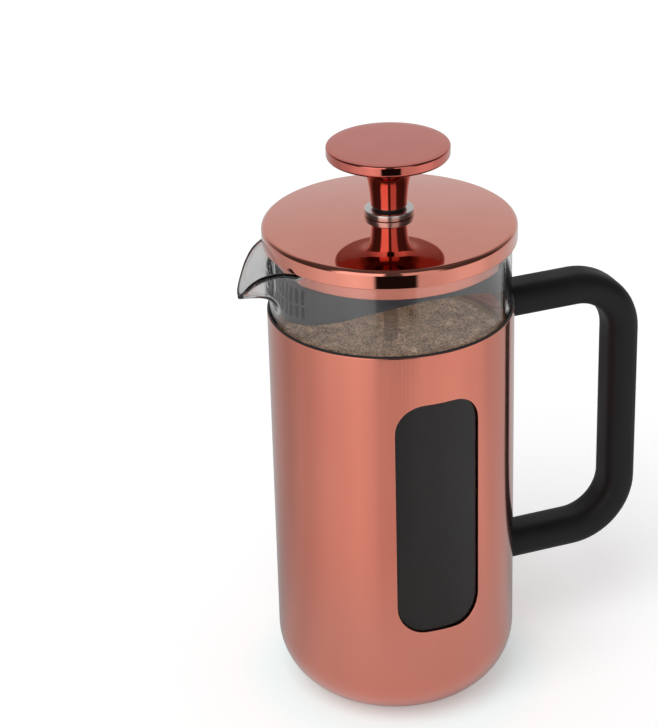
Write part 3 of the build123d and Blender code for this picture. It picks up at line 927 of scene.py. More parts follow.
def makeStrainer(s, bandFlange):
    low, high = nodeBox("strainer_insert")
    radius = high.x
    webTop = nodeBox("lid_band")[1].z - bandFlange
    webLow = webTop - s["web"]
    edgeLow = low.z
    # angles measured from the spout: both sides and the middle of each slot, and between slots
    slotHalf = s["slotPitch"] * s["slotShare"] / 2
    slotMiddles = [s["slotPitch"] * (k - (s["slotColumns"] - 1) / 2) for k in range(s["slotColumns"])]
    angles = []
    for middle in slotMiddles:
        angles += [middle - slotHalf, middle, middle + slotHalf, middle + s["slotPitch"] / 2]
    angles.pop()
    rest = 360 - (angles[-1] - angles[0])
    angles += [angles[-1] + rest * k / s["plainColumns"] for k in range(1, s["plainColumns"])]
    marks = [0, s["underRows"], *s["rowLow"], s["rowHigh"][0], *s["withinHigh"], s["rowHigh"][1],
             s["neckTop"] - edgeLow]
    openRows = (2, 4, 5, 6)  # of the rows between the marks, those the slots go through
    mesh = bmesh.new()
    grid = []
    for angle in angles:
        a = math.radians(180 + angle)
        foot = s["sideLow"] - s["drop"] * math.cos(math.radians(angle)) ** 2
        spread = (s["neckTop"] - foot) / (s["neckTop"] - edgeLow)
        heights = [foot + m * spread for m in marks]
        grid.append([mesh.verts.new((radius * math.cos(a), radius * math.sin(a), z)) for z in heights])
    for c in range(len(angles)):
        n = (c + 1) % len(angles)
        middle = angles[c] + (((angles[n] - angles[c]) % 360) / 2)
        isSlot = any(abs(middle - m) < slotHalf for m in slotMiddles)
        for k in range(len(marks) - 1):
            if isSlot and k in openRows:
                continue
            mesh.faces.new((grid[c][k], grid[n][k], grid[n][k + 1], grid[c][k + 1]))
    skirt = toObject("strainerInsert", mesh)
    thicken(skirt, s["wall"])
    softenEdges(skirt, s["edgeRounding"], s["sharperThan"])
    plainMesh(skirt)
    neck = radius - s["neckStep"]
    bore = radius - s["wall"]
    meeting = s["neckTop"] + s["webOverlap"]
    # radius, height and rounding of each corner of the web and the boss
    outline = roundCorners([
        (s["boreRadius"], webLow, 0.2), (bore, webLow, 0.8), (bore, meeting, 0.1),
        (neck, meeting, 0.1), (neck, webTop, 0.3), (s["bossRadius"], webTop, 0.4),
        (s["bossRadius"], high.z, 0.3), (s["boreRadius"], high.z, 0.2)])
    web = turned("web", outline, 160)
    joined = bmesh.new()
    joined.from_mesh(skirt.data)
    joined.from_mesh(web.data)
    joined.to_mesh(skirt.data)
    joined.free()
    bpy.data.objects.remove(web)
    skirt.data.set_sharp_from_angle(angle=math.radians(38))
    return dress(skirt, "lid", "grey_plastic", mouldedGrey, "strainer_insert")


makeStrainer(strainerSet, lidSet["bandFlange"])
print("strainer made")


# ---- knob and the turned parts

knobSet = {
    "topRounding": 0.8,
    "underRounding": 1.3,
    "hold": 0.12,
    "crown": 0.25,
    "crownRings": 10,
    "edge": 5.0,
    "boreDepth": 14.2,
    "foot": 6.75,
    # stem from its foot to the disc: radius, height above the foot
    "stem": [(7.2, 0.45), (7.25, 2.2), (7.42, 4.5), (7.65, 6.8), (8.1, 10.0), (8.65, 12.2),
             (9.45, 14.1), (10.8, 16.0), (13.1, 17.8), (16.6, 19.3), (19.8, 20.1)],
    "stemEnd": (0.6, 0.02),  # inward of the lower rounding, above the disc's underside
    "sharpAngle": 50,
}


def makeKnob(s):
    low, high = nodeBox("knob")
    radius, top, foot = high.x, high.z, low.z
    bore = radiusOf("knob_insert")
    disc = top - s["edge"]
    under, over = s["underRounding"], s["topRounding"]
    inward, rise = s["stemEnd"]
    outline = [(bore, foot), (s["foot"], foot)]
    stemKeys = [(r, foot + h) for r, h in s["stem"]]
    outline += smoothThrough(stemKeys + [(radius - under - inward, disc + rise)], 4)
    outline += arcPoints((radius - under, disc + under), under, -80, 0, 8)
    outline += [(radius, disc + under + s["hold"]), (radius, top - s["crown"] - over - s["hold"])]
    outline += arcPoints((radius - over, top - s["crown"] - over), over, 0, 84, 6)
    rings = s["crownRings"]
    crown = [(radius - over) * k / rings for k in range(rings - 1, -1, -1)]
    outline += [(r, top - s["crown"] * (r / radius) ** 2) for r in crown]
    outline += [(0.0, foot + s["boreDepth"]), (bore, foot + s["boreDepth"])]
    piece = turned("knobTurned", outline, 160, sharpAngle=s["sharpAngle"])
    return dress(piece, "plunger", "polished_copper", shadedKnobCopper, "knob")


def ringOutline(node, bore, rounding):
    low, high = nodeBox(node)
    return roundCorners([(bore, low.z, rounding), (high.x, low.z, rounding),
                         (high.x, high.z, rounding), (bore, high.z, rounding)], 3)


# plain turned rings: bore, rounding, name, body, slot, material
turnedRings = {
    "beaker_cushion": (7.0, 0.5, "beakerCushion", "sleeve_and_handle", "dark_silicone", darkSilicone),
    "lid_seat_ring": (45.85, 0.5, "lidSeatRing", "lid_seat", "dark_silicone", darkSilicone),
    "lid_washer": (5.1, 0.15, "lidWasher", "lid", "stainless_steel", brightSteel),
    "knob_insert": (2.8, 0.2, "knobInsert", "plunger", "brass", turnedBrass),
    "knob_buffer": (2.8, 0.2, "knobBuffer", "plunger", "dark_silicone", darkSilicone),
}

# stepped turned parts: name, body, slot, material, corners as (radius, height, rounding), the height
# above the node's foot, or down from its top where it is written as minus
steppedParts = {
    "rim_liner": ("rimLiner", "sleeve_and_handle", "dark_silicone", darkSilicone,
                  [(48.41, 0, 0.05), (48.63, 0, 0.05), (48.63, 5.5, 0.02), (49.2, 5.5, 0.12),
                   (49.2, 6.2, 0.25), (48.41, 6.2, 0.15)]),
    "lid_collar": ("lidCollar", "lid", "stainless_steel", brightSteel,
                   [(4.0, 0, 0.2), (5.0, 0, 0.3), (5.0, -2.5, 0), (9.76, -2.5, 0.12),
                    (9.76, -0.0, 0.45), (4.0, -0.0, 0.3)]),
    "guide_bush": ("guideBush", "lid", "natural_nylon", naturalNylon,
                   [(2.87, 0, 0.2), (5.0, 0, 0.25), (5.0, 0.8, 0.1), (4.0, 0.8, 0), (4.0, -0.0, 0.2),
                    (2.87, -0.0, 0.2)]),
    "plunger_rod": ("plungerRod", "plunger", "stainless_steel", brightSteel,
                    [(0, 0, 0), (2.8, 0, 0.5), (2.8, -0.0, 0.5), (0, -0.0, 0)]),
    "rod_flange": ("rodFlange", "plunger", "stainless_steel", brightSteel,
                   [(2.8, 0, 0), (8.0, 0, 0.2), (8.0, 1.0, 0.3), (5.0, 1.0, 0.4), (5.0, 3.0, 0.4),
                    (2.8, 3.0, 0.1)]),
    "filter_hub": ("filterHub", "plunger", "stainless_steel", brightSteel,
                   [(0, 0, 0), (6.0, 0, 0.3), (7.0, 1.0, 0.4), (7.0, 8.0, 0.3), (2.8, 8.0, 0),
                    (2.8, 1.0, 0), (0, 1.0, 0)]),
}


def makeTurnedParts():
    for node, (bore, rounding, name, body, slotName, material) in turnedRings.items():
        piece = turned(name, ringOutline(node, bore, rounding), 96)
        dress(piece, body, slotName, material, node)
    for node, (name, body, slotName, material, steps) in steppedParts.items():
        low, high = nodeBox(node)
        corners = [(r, high.z + h if math.copysign(1, h) < 0 else low.z + h, rounding)
                   for r, h, rounding in steps]
        piece = turned(name, roundCorners(corners, 4), 96)
        dress(piece, body, slotName, material, node)


makeKnob(knobSet)
makeTurnedParts()
print("turned parts made")


# ---- lid nut: a hexagon with turned-down corners

nutSet = {
    "across": 14.0,
    "corner": 7.15,  # radius that the corners are turned down to
    "slope": 30.0,
    "leastCut": 0.05,
    "flatEdge": 0.08,
    "bore": 5.0,
    "boreEdge": 0.3,
    "columns": 96,
}


def makeNut(s):
    low, high = nodeBox("lid_nut")
    slope = math.tan(math.radians(s["slope"]))
    bore, edge = s["bore"], s["boreEdge"]
    mesh = bmesh.new()
    rings = []
    for c in range(s["columns"]):
        a = 2 * math.pi * c / s["columns"]
        reach = s["across"] / 2 / math.cos((a + math.pi / 6) % (math.pi / 3) - math.pi / 6)
        cut = max(reach - s["corner"], 0.0) * slope + s["leastCut"]
        flat = min(reach, s["corner"]) - s["flatEdge"]
        line = [(bore, low.z + edge), (bore + edge, low.z), (flat, low.z), (reach, low.z + cut),
                (reach, high.z - cut), (flat, high.z), (bore + edge, high.z), (bore, high.z - edge)]
        rings.append([mesh.verts.new((r * math.cos(a), r * math.sin(a), z)) for r, z in line])
    for a, b in zip(rings, rings[1:] + rings[:1]):
        for k in range(len(a)):
            n = (k + 1) % len(a)
            mesh.faces.new((a[k], b[k], b[n], a[n]))
    piece = toObject("lidNut", mesh, sharpAngle=25)
    return dress(piece, "lid", "stainless_steel", brightSteel, "lid_nut")


makeNut(nutSet)


# ---- handle: a squared loop of rounded section with a socket for each bracket

handleSet = {
    "thickness": 13.4,
    "width": 18.0,
    "rounding": 6.0,
    "bend": 22.0,
    "grip": 102.1,
    "upperArm": 163.85,
    "lowerArm": 50.9,
    "meets": 49.3,  # radius of the sleeve that the arms end against
    "endRounding": 0.5,
    # the rounding as (distance from the end, how far the section shrinks), in shares of its size
    "rootSteps": ((0.0, 1.0), (0.12, 0.45), (0.5, 0.12), (1.1, 0.0)),
    "rootRun": 1,
    "armSteps": 6,
    "bendSteps": 16,
    "gripSteps": 10,
    "socket": (62.55, 5.65, 4.15),  # reach, half width, half height
    "screwAt": 56.25,
    "screwHole": 1.65,
    "recess": (2.9, 2.0),  # radius, depth
    "overcuts": (3, 0.5, 2),  # how far socket, hole and recess cut past where they start
    "sharpAngle": 35,
}


def handleSection(s):
    # outline as (side, outward) pairs round the rounded rectangle
    w, t, r = s["width"] / 2 - s["rounding"], s["thickness"] / 2 - s["rounding"], s["rounding"]
    points = []
    for cx, ct, start in ((w, t, 0), (-w, t, 90), (-w, -t, 180), (w, -t, 270)):
        points += arcPoints((cx, ct), r, start, start + 90, 8)
    return points


def handlePath(s):
    # from the upper arm's end round to the lower's: x, z, outward x, outward z, height of the arm
    # where it ends against the sleeve, shrink; at an end there is no x, and z is the distance from it
    near = s["grip"] - s["bend"]
    upper, lower = s["upperArm"], s["lowerArm"]
    high, low = upper - s["bend"], lower + s["bend"]
    e = s["endRounding"]
    rootSteps = [(lift * e, shrink * e) for lift, shrink in s["rootSteps"]]
    run = near - s["meets"] - s["rootRun"]

    def alongArm(k, height, outward):
        x = s["meets"] + s["rootRun"] + run * k / s["armSteps"]
        return (x, height, 0.0, outward, None, 0.0)

    def roundBend(centre, degrees):
        a = math.radians(degrees)
        return (near + s["bend"] * math.cos(a), centre + s["bend"] * math.sin(a),
                math.cos(a), math.sin(a), None, 0.0)

    path = [(None, lift, 0.0, 1.0, upper, shrink) for lift, shrink in rootSteps]
    path += [alongArm(k, upper, 1.0) for k in range(1, s["armSteps"] + 1)]
    bend = range(1, s["bendSteps"] + 1)
    path += [roundBend(high, 90 - 90 * k / s["bendSteps"]) for k in bend]
    path += [(s["grip"], high + (low - high) * k / s["gripSteps"], 1.0, 0.0, None, 0.0)
             for k in range(1, s["gripSteps"] + 1)]
    path += [roundBend(low, -90 * k / s["bendSteps"]) for k in bend]
    path += [alongArm(k, lower, -1.0) for k in range(s["armSteps"] - 1, 0, -1)]
    path += [(None, lift, 0.0, -1.0, lower, shrink) for lift, shrink in reversed(rootSteps)]
    return path


def boxInto(mesh, low, high):
    made = bmesh.ops.create_cube(mesh, size=1)
    size, middle = (Vector(high) - Vector(low)), (Vector(high) + Vector(low)) / 2
    for vert in made["verts"]:
        vert.co = Vector((vert.co.x * size.x, vert.co.y * size.y, vert.co.z * size.z)) + middle


def rodInto(mesh, x, radius, low, high, sides=40):
    place = Matrix.Translation((x, 0, (low + high) / 2))
    bmesh.ops.create_cone(mesh, cap_ends=True, segments=sides, radius1=radius, radius2=radius,
                          depth=high - low, matrix=place)


def cutFrom(piece, cutter, name):
    cut = piece.modifiers.new(name, "BOOLEAN")
    cut.operation = "DIFFERENCE"
    cut.solver = "EXACT"
    cut.object = cutter
    plainMesh(piece)
    bpy.data.objects.remove(cutter)


def makeHandle(s):
    section = handleSection(s)
    mesh = bmesh.new()
    rings = []
    for x, z, outX, outZ, armHeight, shrink in handlePath(s):
        ring = []
        for side, outward in section:
            k = 1 - shrink / math.hypot(side, outward)
            side, outward = side * k, outward * k
            if armHeight is None:
                ring.append(mesh.verts.new((x + outX * outward, side, z + outZ * outward)))
            else:
                against = math.sqrt(s["meets"] ** 2 - side ** 2) + z
                ring.append(mesh.verts.new((against, side, armHeight + outZ * outward)))
        rings.append(ring)
    for a, b in zip(rings, rings[1:]):
        joinRings(mesh, a, b)
    for ring in (rings[0], rings[-1]):
        middle = mesh.verts.new((s["meets"], 0, sum(v.co.z for v in ring) / len(ring)))
        for k in range(len(ring)):
            mesh.faces.new((ring[k], ring[(k + 1) % len(ring)], middle))
    piece = toObject("handleLoop", mesh)
    reach, halfWidth, halfHeight = s["socket"]
    recessRadius, recessDepth = s["recess"]
    pastSocket, pastHole, pastRecess = s["overcuts"]
    arms = [(height, height - s["thickness"] / 2) for height in (s["upperArm"], s["lowerArm"])]
    sockets, holes, recesses = bmesh.new(), bmesh.new(), bmesh.new()
    for height, under in arms:
        boxInto(sockets, (s["meets"] - pastSocket, -halfWidth, height - halfHeight),
                (reach, halfWidth, height + halfHeight))
        rodInto(holes, s["screwAt"], s["screwHole"], under + recessDepth - pastHole, height)
        rodInto(recesses, s["screwAt"], recessRadius, under - pastRecess, under + recessDepth)
    for name, cuts in (("sockets", sockets), ("holes", holes), ("recesses", recesses)):
        cutFrom(piece, toObject(name, cuts), name)
    piece.data.polygons.foreach_set("use_smooth", [True] * len(piece.data.polygons))
    piece.data.set_sharp_from_angle(angle=math.radians(s["sharpAngle"]))
    return dress(piece, "sleeve_and_handle", "black_plastic", softTouchBlack, "handle")


makeHandle(handleSet)
for bracket in ("upper_bracket", "lower_bracket"):
    dressNode(bracket, brightSteel)
print("handle made")


# ---- node trees for what repeats

def startTree(name, sizes):
    # a tree that makes its own shape from the named sizes
    tree = bpy.data.node_groups.new(name, "GeometryNodeTree")
    tree.interface.new_socket("Geometry", in_out="OUTPUT", socket_type="NodeSocketGeometry")
    for label, value in sizes.items():
        kind = "NodeSocketInt" if isinstance(value, int) else "NodeSocketFloat"
        tree.interface.new_socket(label, in_out="INPUT", socket_type=kind)
    return tree, tree.nodes.new("NodeGroupInput").outputs


def put(tree, kind, settings=None, **sockets):
    node = tree.nodes.new(kind)
    for key, value in (settings or {}).items():
        setattr(node, key, value)
    for key, value in sockets.items():
        feed(tree, node.inputs[key.replace("_", " ")], value)
    return node


def feed(tree, socket, value):
    if isinstance(value, bpy.types.NodeSocket):
        tree.links.new(value, socket)
    else:
        socket.default_value = value


def calc(tree, operation, *values):
    node = tree.nodes.new("ShaderNodeMath")
    node.operation = operation
    for socket, value in zip(node.inputs, values):
        feed(tree, socket, value)
    return node.outputs[0]


def vector(tree, x=0.0, y=0.0, z=0.0):
    return put(tree, "ShaderNodeCombineXYZ", X=x, Y=y, Z=z).outputs[0]


def endTree(tree, shape, material, smooth=True):
    whole = put(tree, "GeometryNodeRealizeInstances", Geometry=shape).outputs[0]
    shaded = put(tree, "GeometryNodeSetShadeSmooth", Geometry=whole, Shade_Smooth=smooth).outputs[0]
    painted = put(tree, "GeometryNodeSetMaterial", Geometry=shaded)
    painted.inputs["Material"].default_value = material
    output = tree.nodes.new("NodeGroupOutput")
    tree.links.new(painted.outputs[0], output.inputs[0])


def grow(name, tree, sizes):
    # runs the tree on a new object and keeps the result as a plain mesh
    piece = bpy.data.objects.new(name, bpy.data.meshes.new(name))
    bpy.context.scene.collection.objects.link(piece)
    modifier = piece.modifiers.new(name, "NODES")
    modifier.node_group = tree
    keys = {item.name: item.identifier for item in tree.interface.items_tree if item.in_out == "INPUT"}
    for label, value in sizes.items():
        modifier[keys[label]] = value
    plainMesh(piece)
    return piece


# edge spring: a closed ring of coiled wire
springSet = {"Turns": 230, "Coil radius": 1.85 * mm, "Wire radius": 0.35 * mm, "Points a turn": 8}


def makeEdgeSpring(sizes):
    low, high = nodeBox("edge_spring")
    coilReach = sizes["Coil radius"] + sizes["Wire radius"]
    sizes = dict(sizes, **{"Ring radius": high.x * mm - coilReach, "Height": (low.z + high.z) / 2 * mm})
    tree, given = startTree("coiledRing", sizes)
    count = calc(tree, "MULTIPLY", given["Turns"], given["Points a turn"])
    ring = put(tree, "GeometryNodeCurvePrimitiveCircle", Resolution=count, Radius=given["Ring radius"])
    index = put(tree, "GeometryNodeInputIndex").outputs[0]
    angle = calc(tree, "MULTIPLY", calc(tree, "DIVIDE", index, given["Points a turn"]), 2 * math.pi)
    outward = calc(tree, "MULTIPLY", calc(tree, "COSINE", angle), given["Coil radius"])
    upward = calc(tree, "MULTIPLY", calc(tree, "SINE", angle), given["Coil radius"])
    place = put(tree, "GeometryNodeInputPosition").outputs[0]
    along = put(tree, "ShaderNodeVectorMath", {"operation": "NORMALIZE"})
    tree.links.new(place, along.inputs[0])
    pushed = put(tree, "ShaderNodeVectorMath", {"operation": "SCALE"}, Scale=outward)
    tree.links.new(along.outputs[0], pushed.inputs[0])
    moved = put(tree, "ShaderNodeVectorMath", {"operation": "ADD"})
    tree.links.new(pushed.outputs[0], moved.inputs[0])
    tree.links.new(vector(tree, z=calc(tree, "ADD", upward, given["Height"])), moved.inputs[1])
    coil = put(tree, "GeometryNodeSetPosition", Geometry=ring.outputs[0], Offset=moved.outputs[0])
    wire = put(tree, "GeometryNodeCurvePrimitiveCircle", Resolution=6, Radius=given["Wire radius"])
    tube = put(tree, "GeometryNodeCurveToMesh", Curve=coil.outputs[0], Profile_Curve=wire.outputs[0])
    endTree(tree, tube.outputs[0], brightSteel)
    piece = grow("edgeSpring", tree, sizes)
    return dress(piece, "plunger", "stainless_steel", brightSteel, "edge_spring")


# mesh disc: wires woven over and under each other, trimmed to a ring
weaveSet = {"Pitch": 1.25 * mm, "Wire radius": 0.095 * mm, "Wires each side": 32, "Bore": 3.1 * mm}
weaveTrim = 0.15  # how far the wires stop short of the disc's edge


def makeMeshDisc(sizes):
    low, high = nodeBox("mesh_disc")
    sizes = dict(sizes, **{"Radius": (high.x - weaveTrim) * mm, "Height": (low.z + high.z) / 2 * mm})
    tree, given = startTree("wovenDisc", sizes)
    pitch = given["Pitch"]
    side = given["Wires each side"]
    step = calc(tree, "DIVIDE", pitch, 2.0)
    start = calc(tree, "MULTIPLY", calc(tree, "MULTIPLY", side, pitch), -1.0)
    wires = calc(tree, "ADD", calc(tree, "MULTIPLY", side, 2.0), 1.0)
    points = calc(tree, "ADD", calc(tree, "MULTIPLY", side, 4.0), 1.0)
    wire = put(tree, "GeometryNodeMeshLine", Count=points, Start_Location=vector(tree, x=start),
               Offset=vector(tree, x=step))
    rows = put(tree, "GeometryNodeMeshLine", Count=wires, Start_Location=vector(tree, y=start),
               Offset=vector(tree, y=pitch))
    laid = put(tree, "GeometryNodeInstanceOnPoints", Points=rows.outputs[0], Instance=wire.outputs[0])
    warp = put(tree, "GeometryNodeRealizeInstances", Geometry=laid.outputs[0]).outputs[0]
    turn = vector(tree, z=math.pi / 2)
    weft = put(tree, "GeometryNodeTransform", Geometry=warp, Rotation=turn).outputs[0]
    place = put(tree, "GeometryNodeInputPosition").outputs[0]
    parts = put(tree, "ShaderNodeSeparateXYZ", Vector=place).outputs
    waves = [calc(tree, "COSINE", calc(tree, "MULTIPLY", calc(tree, "DIVIDE", part, pitch), math.pi))
             for part in (parts["X"], parts["Y"])]
    wave = calc(tree, "MULTIPLY", waves[0], waves[1])
    rise = calc(tree, "MULTIPLY", wave, given["Wire radius"])
    fall = calc(tree, "MULTIPLY", rise, -1.0)
    both = tree.nodes.new("GeometryNodeJoinGeometry")
    for flat, height in ((warp, rise), (weft, fall)):
        lifted = put(tree, "GeometryNodeSetPosition", Geometry=flat,
                     Offset=vector(tree, z=calc(tree, "ADD", height, given["Height"])))
        tree.links.new(lifted.outputs[0], both.inputs[0])
    reach = calc(tree, "SQRT", calc(tree, "ADD", calc(tree, "MULTIPLY", parts["X"], parts["X"]),
                                    calc(tree, "MULTIPLY", parts["Y"], parts["Y"])))
    outside = calc(tree, "GREATER_THAN", reach, given["Radius"])
    inside = calc(tree, "LESS_THAN", reach, given["Bore"])
    trimmed = put(tree, "GeometryNodeDeleteGeometry", Geometry=both.outputs[0],
                  Selection=calc(tree, "ADD", outside, inside))
    lines = put(tree, "GeometryNodeMeshToCurve", Mesh=trimmed.outputs[0])
    round4 = put(tree, "GeometryNodeCurvePrimitiveCircle", Resolution=4, Radius=given["Wire radius"])
    tube = put(tree, "GeometryNodeCurveToMesh", Curve=lines.outputs[0], Profile_Curve=round4.outputs[0],
               Fill_Caps=True)
    endTree(tree, tube.outputs[0], brightSteel)
    piece = grow("meshDisc", tree, sizes)
    return dress(piece, "plunger", "stainless_steel", brightSteel, "mesh_disc")


# perforated plates: a disc with rings of holes, each ring as (count, place, hole radius, first angle)
plateSets = {
    "spring_plate": ("springPlate", [(6, 17.30, 5.356, 0.0), (12, 31.31, 5.356, 15.0)]),
    "cross_plate": ("crossPlate", [(4, 23.48, 12.36, 45.0)]),
}
plateBore = 2.95
plateEdge = 0.18
plateSharperThan = 60


def makePlate(node, name, rings):
    low, high = nodeBox(node)
    sizes = {"Radius": high.x * mm, "Low": low.z * mm, "High": high.z * mm, "Bore": plateBore * mm}
    for k, (count, place, hole, first) in enumerate(rings):
        sizes.update({f"Holes {k}": count, f"Place {k}": place * mm, f"Hole radius {k}": hole * mm,
                      f"First angle {k}": math.radians(first)})
    tree, given = startTree(name, sizes)
    depth = calc(tree, "SUBTRACT", given["High"], given["Low"])
    middle = calc(tree, "DIVIDE", calc(tree, "ADD", given["High"], given["Low"]), 2.0)
    disc = put(tree, "GeometryNodeMeshCylinder", Vertices=160, Radius=given["Radius"], Depth=depth)
    cutters = tree.nodes.new("GeometryNodeJoinGeometry")
    through = calc(tree, "MULTIPLY", depth, 3.0)
    bore = put(tree, "GeometryNodeMeshCylinder", Vertices=40, Radius=given["Bore"], Depth=through)
    tree.links.new(bore.outputs[0], cutters.inputs[0])
    for k in range(len(rings)):
        ring = put(tree, "GeometryNodeMeshCircle", Vertices=given[f"Holes {k}"],
                   Radius=given[f"Place {k}"])
        spun = put(tree, "GeometryNodeTransform", Geometry=ring.outputs[0],
                   Rotation=vector(tree, z=given[f"First angle {k}"]))
        hole = put(tree, "GeometryNodeMeshCylinder", Vertices=48, Radius=given[f"Hole radius {k}"],
                   Depth=through)
        holes = put(tree, "GeometryNodeInstanceOnPoints", Points=spun.outputs[0],
                    Instance=hole.outputs[0])
        real = put(tree, "GeometryNodeRealizeInstances", Geometry=holes.outputs[0])
        tree.links.new(real.outputs[0], cutters.inputs[0])
    pierced = put(tree, "GeometryNodeMeshBoolean", {"operation": "DIFFERENCE"})
    tree.links.new(disc.outputs[0], pierced.inputs[0])
    tree.links.new(cutters.outputs[0], pierced.inputs[1])
    raised = put(tree, "GeometryNodeTransform", Geometry=pierced.outputs[0],
                 Translation=vector(tree, z=middle))
    endTree(tree, raised.outputs[0], brightSteel, smooth=False)
    piece = grow(name, tree, sizes)
    softenEdges(piece, plateEdge, plateSharperThan)
    return dress(piece, "plunger", "stainless_steel", brightSteel, node)


makeEdgeSpring(springSet)
makeMeshDisc(weaveSet)
for node, (name, rings) in plateSets.items():
    makePlate(node, name, rings)
print("filter made")


# ---- handle screws: turned heads with a hexagon socket, threads from a tree

screwSet = {
    "at": 56.25,
    "headRadius": 2.75,
    "headHeight": 1.6,
    "shank": 1.22,
    "headEdge": 0.1,
    # the head's crown, from its flat to its side: distance inward, rise
    "crown": ((0.7, 0.0), (0.25, 0.15), (0.0, 0.6)),
    "socket": 1.5,
    "socketDepth": 0.9,
    "socketEdge": 0.12,
    "socketPoint": 0.3,
    "length": 6.5,
    "tipEdge": 0.4,
    "threadFrom": 0.35,
    "columns": 48,
}
threadSet = {"Radius": 1.22 * mm, "Pitch": 0.5 * mm, "Turns": 12, "Points a turn": 20,
             "Ridge": 0.29 * mm}


def makeThread(sizes):
    tree, given = startTree("screwThread", sizes)
    count = calc(tree, "MULTIPLY", given["Turns"], given["Points a turn"])
    line = put(tree, "GeometryNodeMeshLine", Count=count)
    index = put(tree, "GeometryNodeInputIndex").outputs[0]
    turnsDone = calc(tree, "DIVIDE", index, given["Points a turn"])
    angle = calc(tree, "MULTIPLY", turnsDone, 2 * math.pi)
    spot = vector(tree, calc(tree, "MULTIPLY", calc(tree, "COSINE", angle), given["Radius"]),
                  calc(tree, "MULTIPLY", calc(tree, "SINE", angle), given["Radius"]),
                  calc(tree, "MULTIPLY", turnsDone, given["Pitch"]))
    helix = put(tree, "GeometryNodeSetPosition", Geometry=line.outputs[0], Position=spot)
    path = put(tree, "GeometryNodeMeshToCurve", Mesh=helix.outputs[0])
    ridge = put(tree, "GeometryNodeCurvePrimitiveCircle", Resolution=4, Radius=given["Ridge"])
    thread = put(tree, "GeometryNodeCurveToMesh", Curve=path.outputs[0], Profile_Curve=ridge.outputs[0],
                 Fill_Caps=True)
    endTree(tree, thread.outputs[0], brightSteel, smooth=False)
    return grow("screwThread", tree, sizes)


def screwInto(mesh, s, headTop):
    # head and shank as one turned shape, with a six-sided socket in the head
    head, headLow = s["headRadius"], headTop - s["headHeight"]
    edge, shank, end = s["headEdge"], s["shank"], headTop + s["length"]
    socketFloor = headLow + s["socketDepth"]
    rings = []
    for c in range(s["columns"]):
        a = 2 * math.pi * c / s["columns"]
        hexagon = s["socket"] * math.cos(math.pi / 6) / math.cos(a % (math.pi / 3) - math.pi / 6)
        line = [(hexagon, socketFloor), (hexagon, headLow + s["socketEdge"]),
                (s["socket"] + s["socketEdge"], headLow)]
        line += [(head - inward, headLow + rise) for inward, rise in s["crown"]]
        line += [(head, headTop - edge), (head - edge, headTop), (shank, headTop)]
        line += [(shank, end - s["tipEdge"]), (shank - s["tipEdge"], end)]
        rings.append([mesh.verts.new((s["at"] + r * math.cos(a), r * math.sin(a), z)) for r, z in line])
    foot = mesh.verts.new((s["at"], 0, socketFloor + s["socketPoint"]))
    tip = mesh.verts.new((s["at"], 0, end))
    for a, b in zip(rings, rings[1:] + rings[:1]):
        mesh.faces.new((foot, b[0], a[0]))
        mesh.faces.new((tip, a[-1], b[-1]))
        for k in range(len(a) - 1):
            mesh.faces.new((a[k], b[k], b[k + 1], a[k + 1]))


def makeScrews(s, handle):
    thread = makeThread(threadSet)
    mesh = bmesh.new()
    for height in (handle["upperArm"], handle["lowerArm"]):
        headTop = height - handle["thickness"] / 2 + handle["recess"][1]
        screwInto(mesh, s, headTop)
        before = len(mesh.verts)
        mesh.from_mesh(thread.data)
        mesh.verts.ensure_lookup_table()
        for vert in mesh.verts[before:]:
            vert.co = vert.co / mm + Vector((s["at"], 0, headTop + s["threadFrom"]))
    bpy.data.objects.remove(thread)
    piece = toObject("handleScrews", mesh, sharpAngle=30)
    return dress(piece, "sleeve_and_handle", "stainless_steel", brightSteel, "handle_screws")


makeScrews(screwSet, handleSet)
print("screws made")


# ---- the drink: coffee in the beaker and the foam on it, not parts of the press

drinkSet = {
    "wetting": 0.05,  # how far the drink reaches into the glass, so that no air shows between them
    "bore": 46.0,
    "floor": 5.2,
    "corner": 22.8,
    "level": 156.0,
    "meniscus": 1.6,
    # the curve down from the glass: distance inward, rise
    "climb": ((0.25, 0.9), (0.9, 0.25), (2.0, 0.0)),
    "coffeeUnder": 0.4,
    "foamUnder": 0.35,
    "bubbleSeed": 7,
}
bubbleSet = {
    "Radius": 45.3 * mm,
    "Height": 156.1 * mm,
    "Density": 1100000.0,
    "Small": 0.2 * mm,
    "Large": 0.95 * mm,
    "Rim density": 1500000.0,
    "Rim share": 0.90,
    "Mostly small": 7.0,
    "Flatness": 0.7,
}


def makeCoffeeColour():
    material, nodes, links, shader = startMaterial("blackCoffee")
    cloud = stretchedNoise(nodes, links, 30.0, (1, 1, 1), 2.0)
    tint = mixColours(nodes, links, mapTo(nodes, links, cloud, 0, 1), (0.009, 0.0042, 0.0035, 1),
                      (0.013, 0.006, 0.005, 1))
    links.new(tint, shader.inputs["Base Color"])
    shader.inputs["Roughness"].default_value = 0.6
    shader.inputs["Specular IOR Level"].default_value = 0.0
    return material


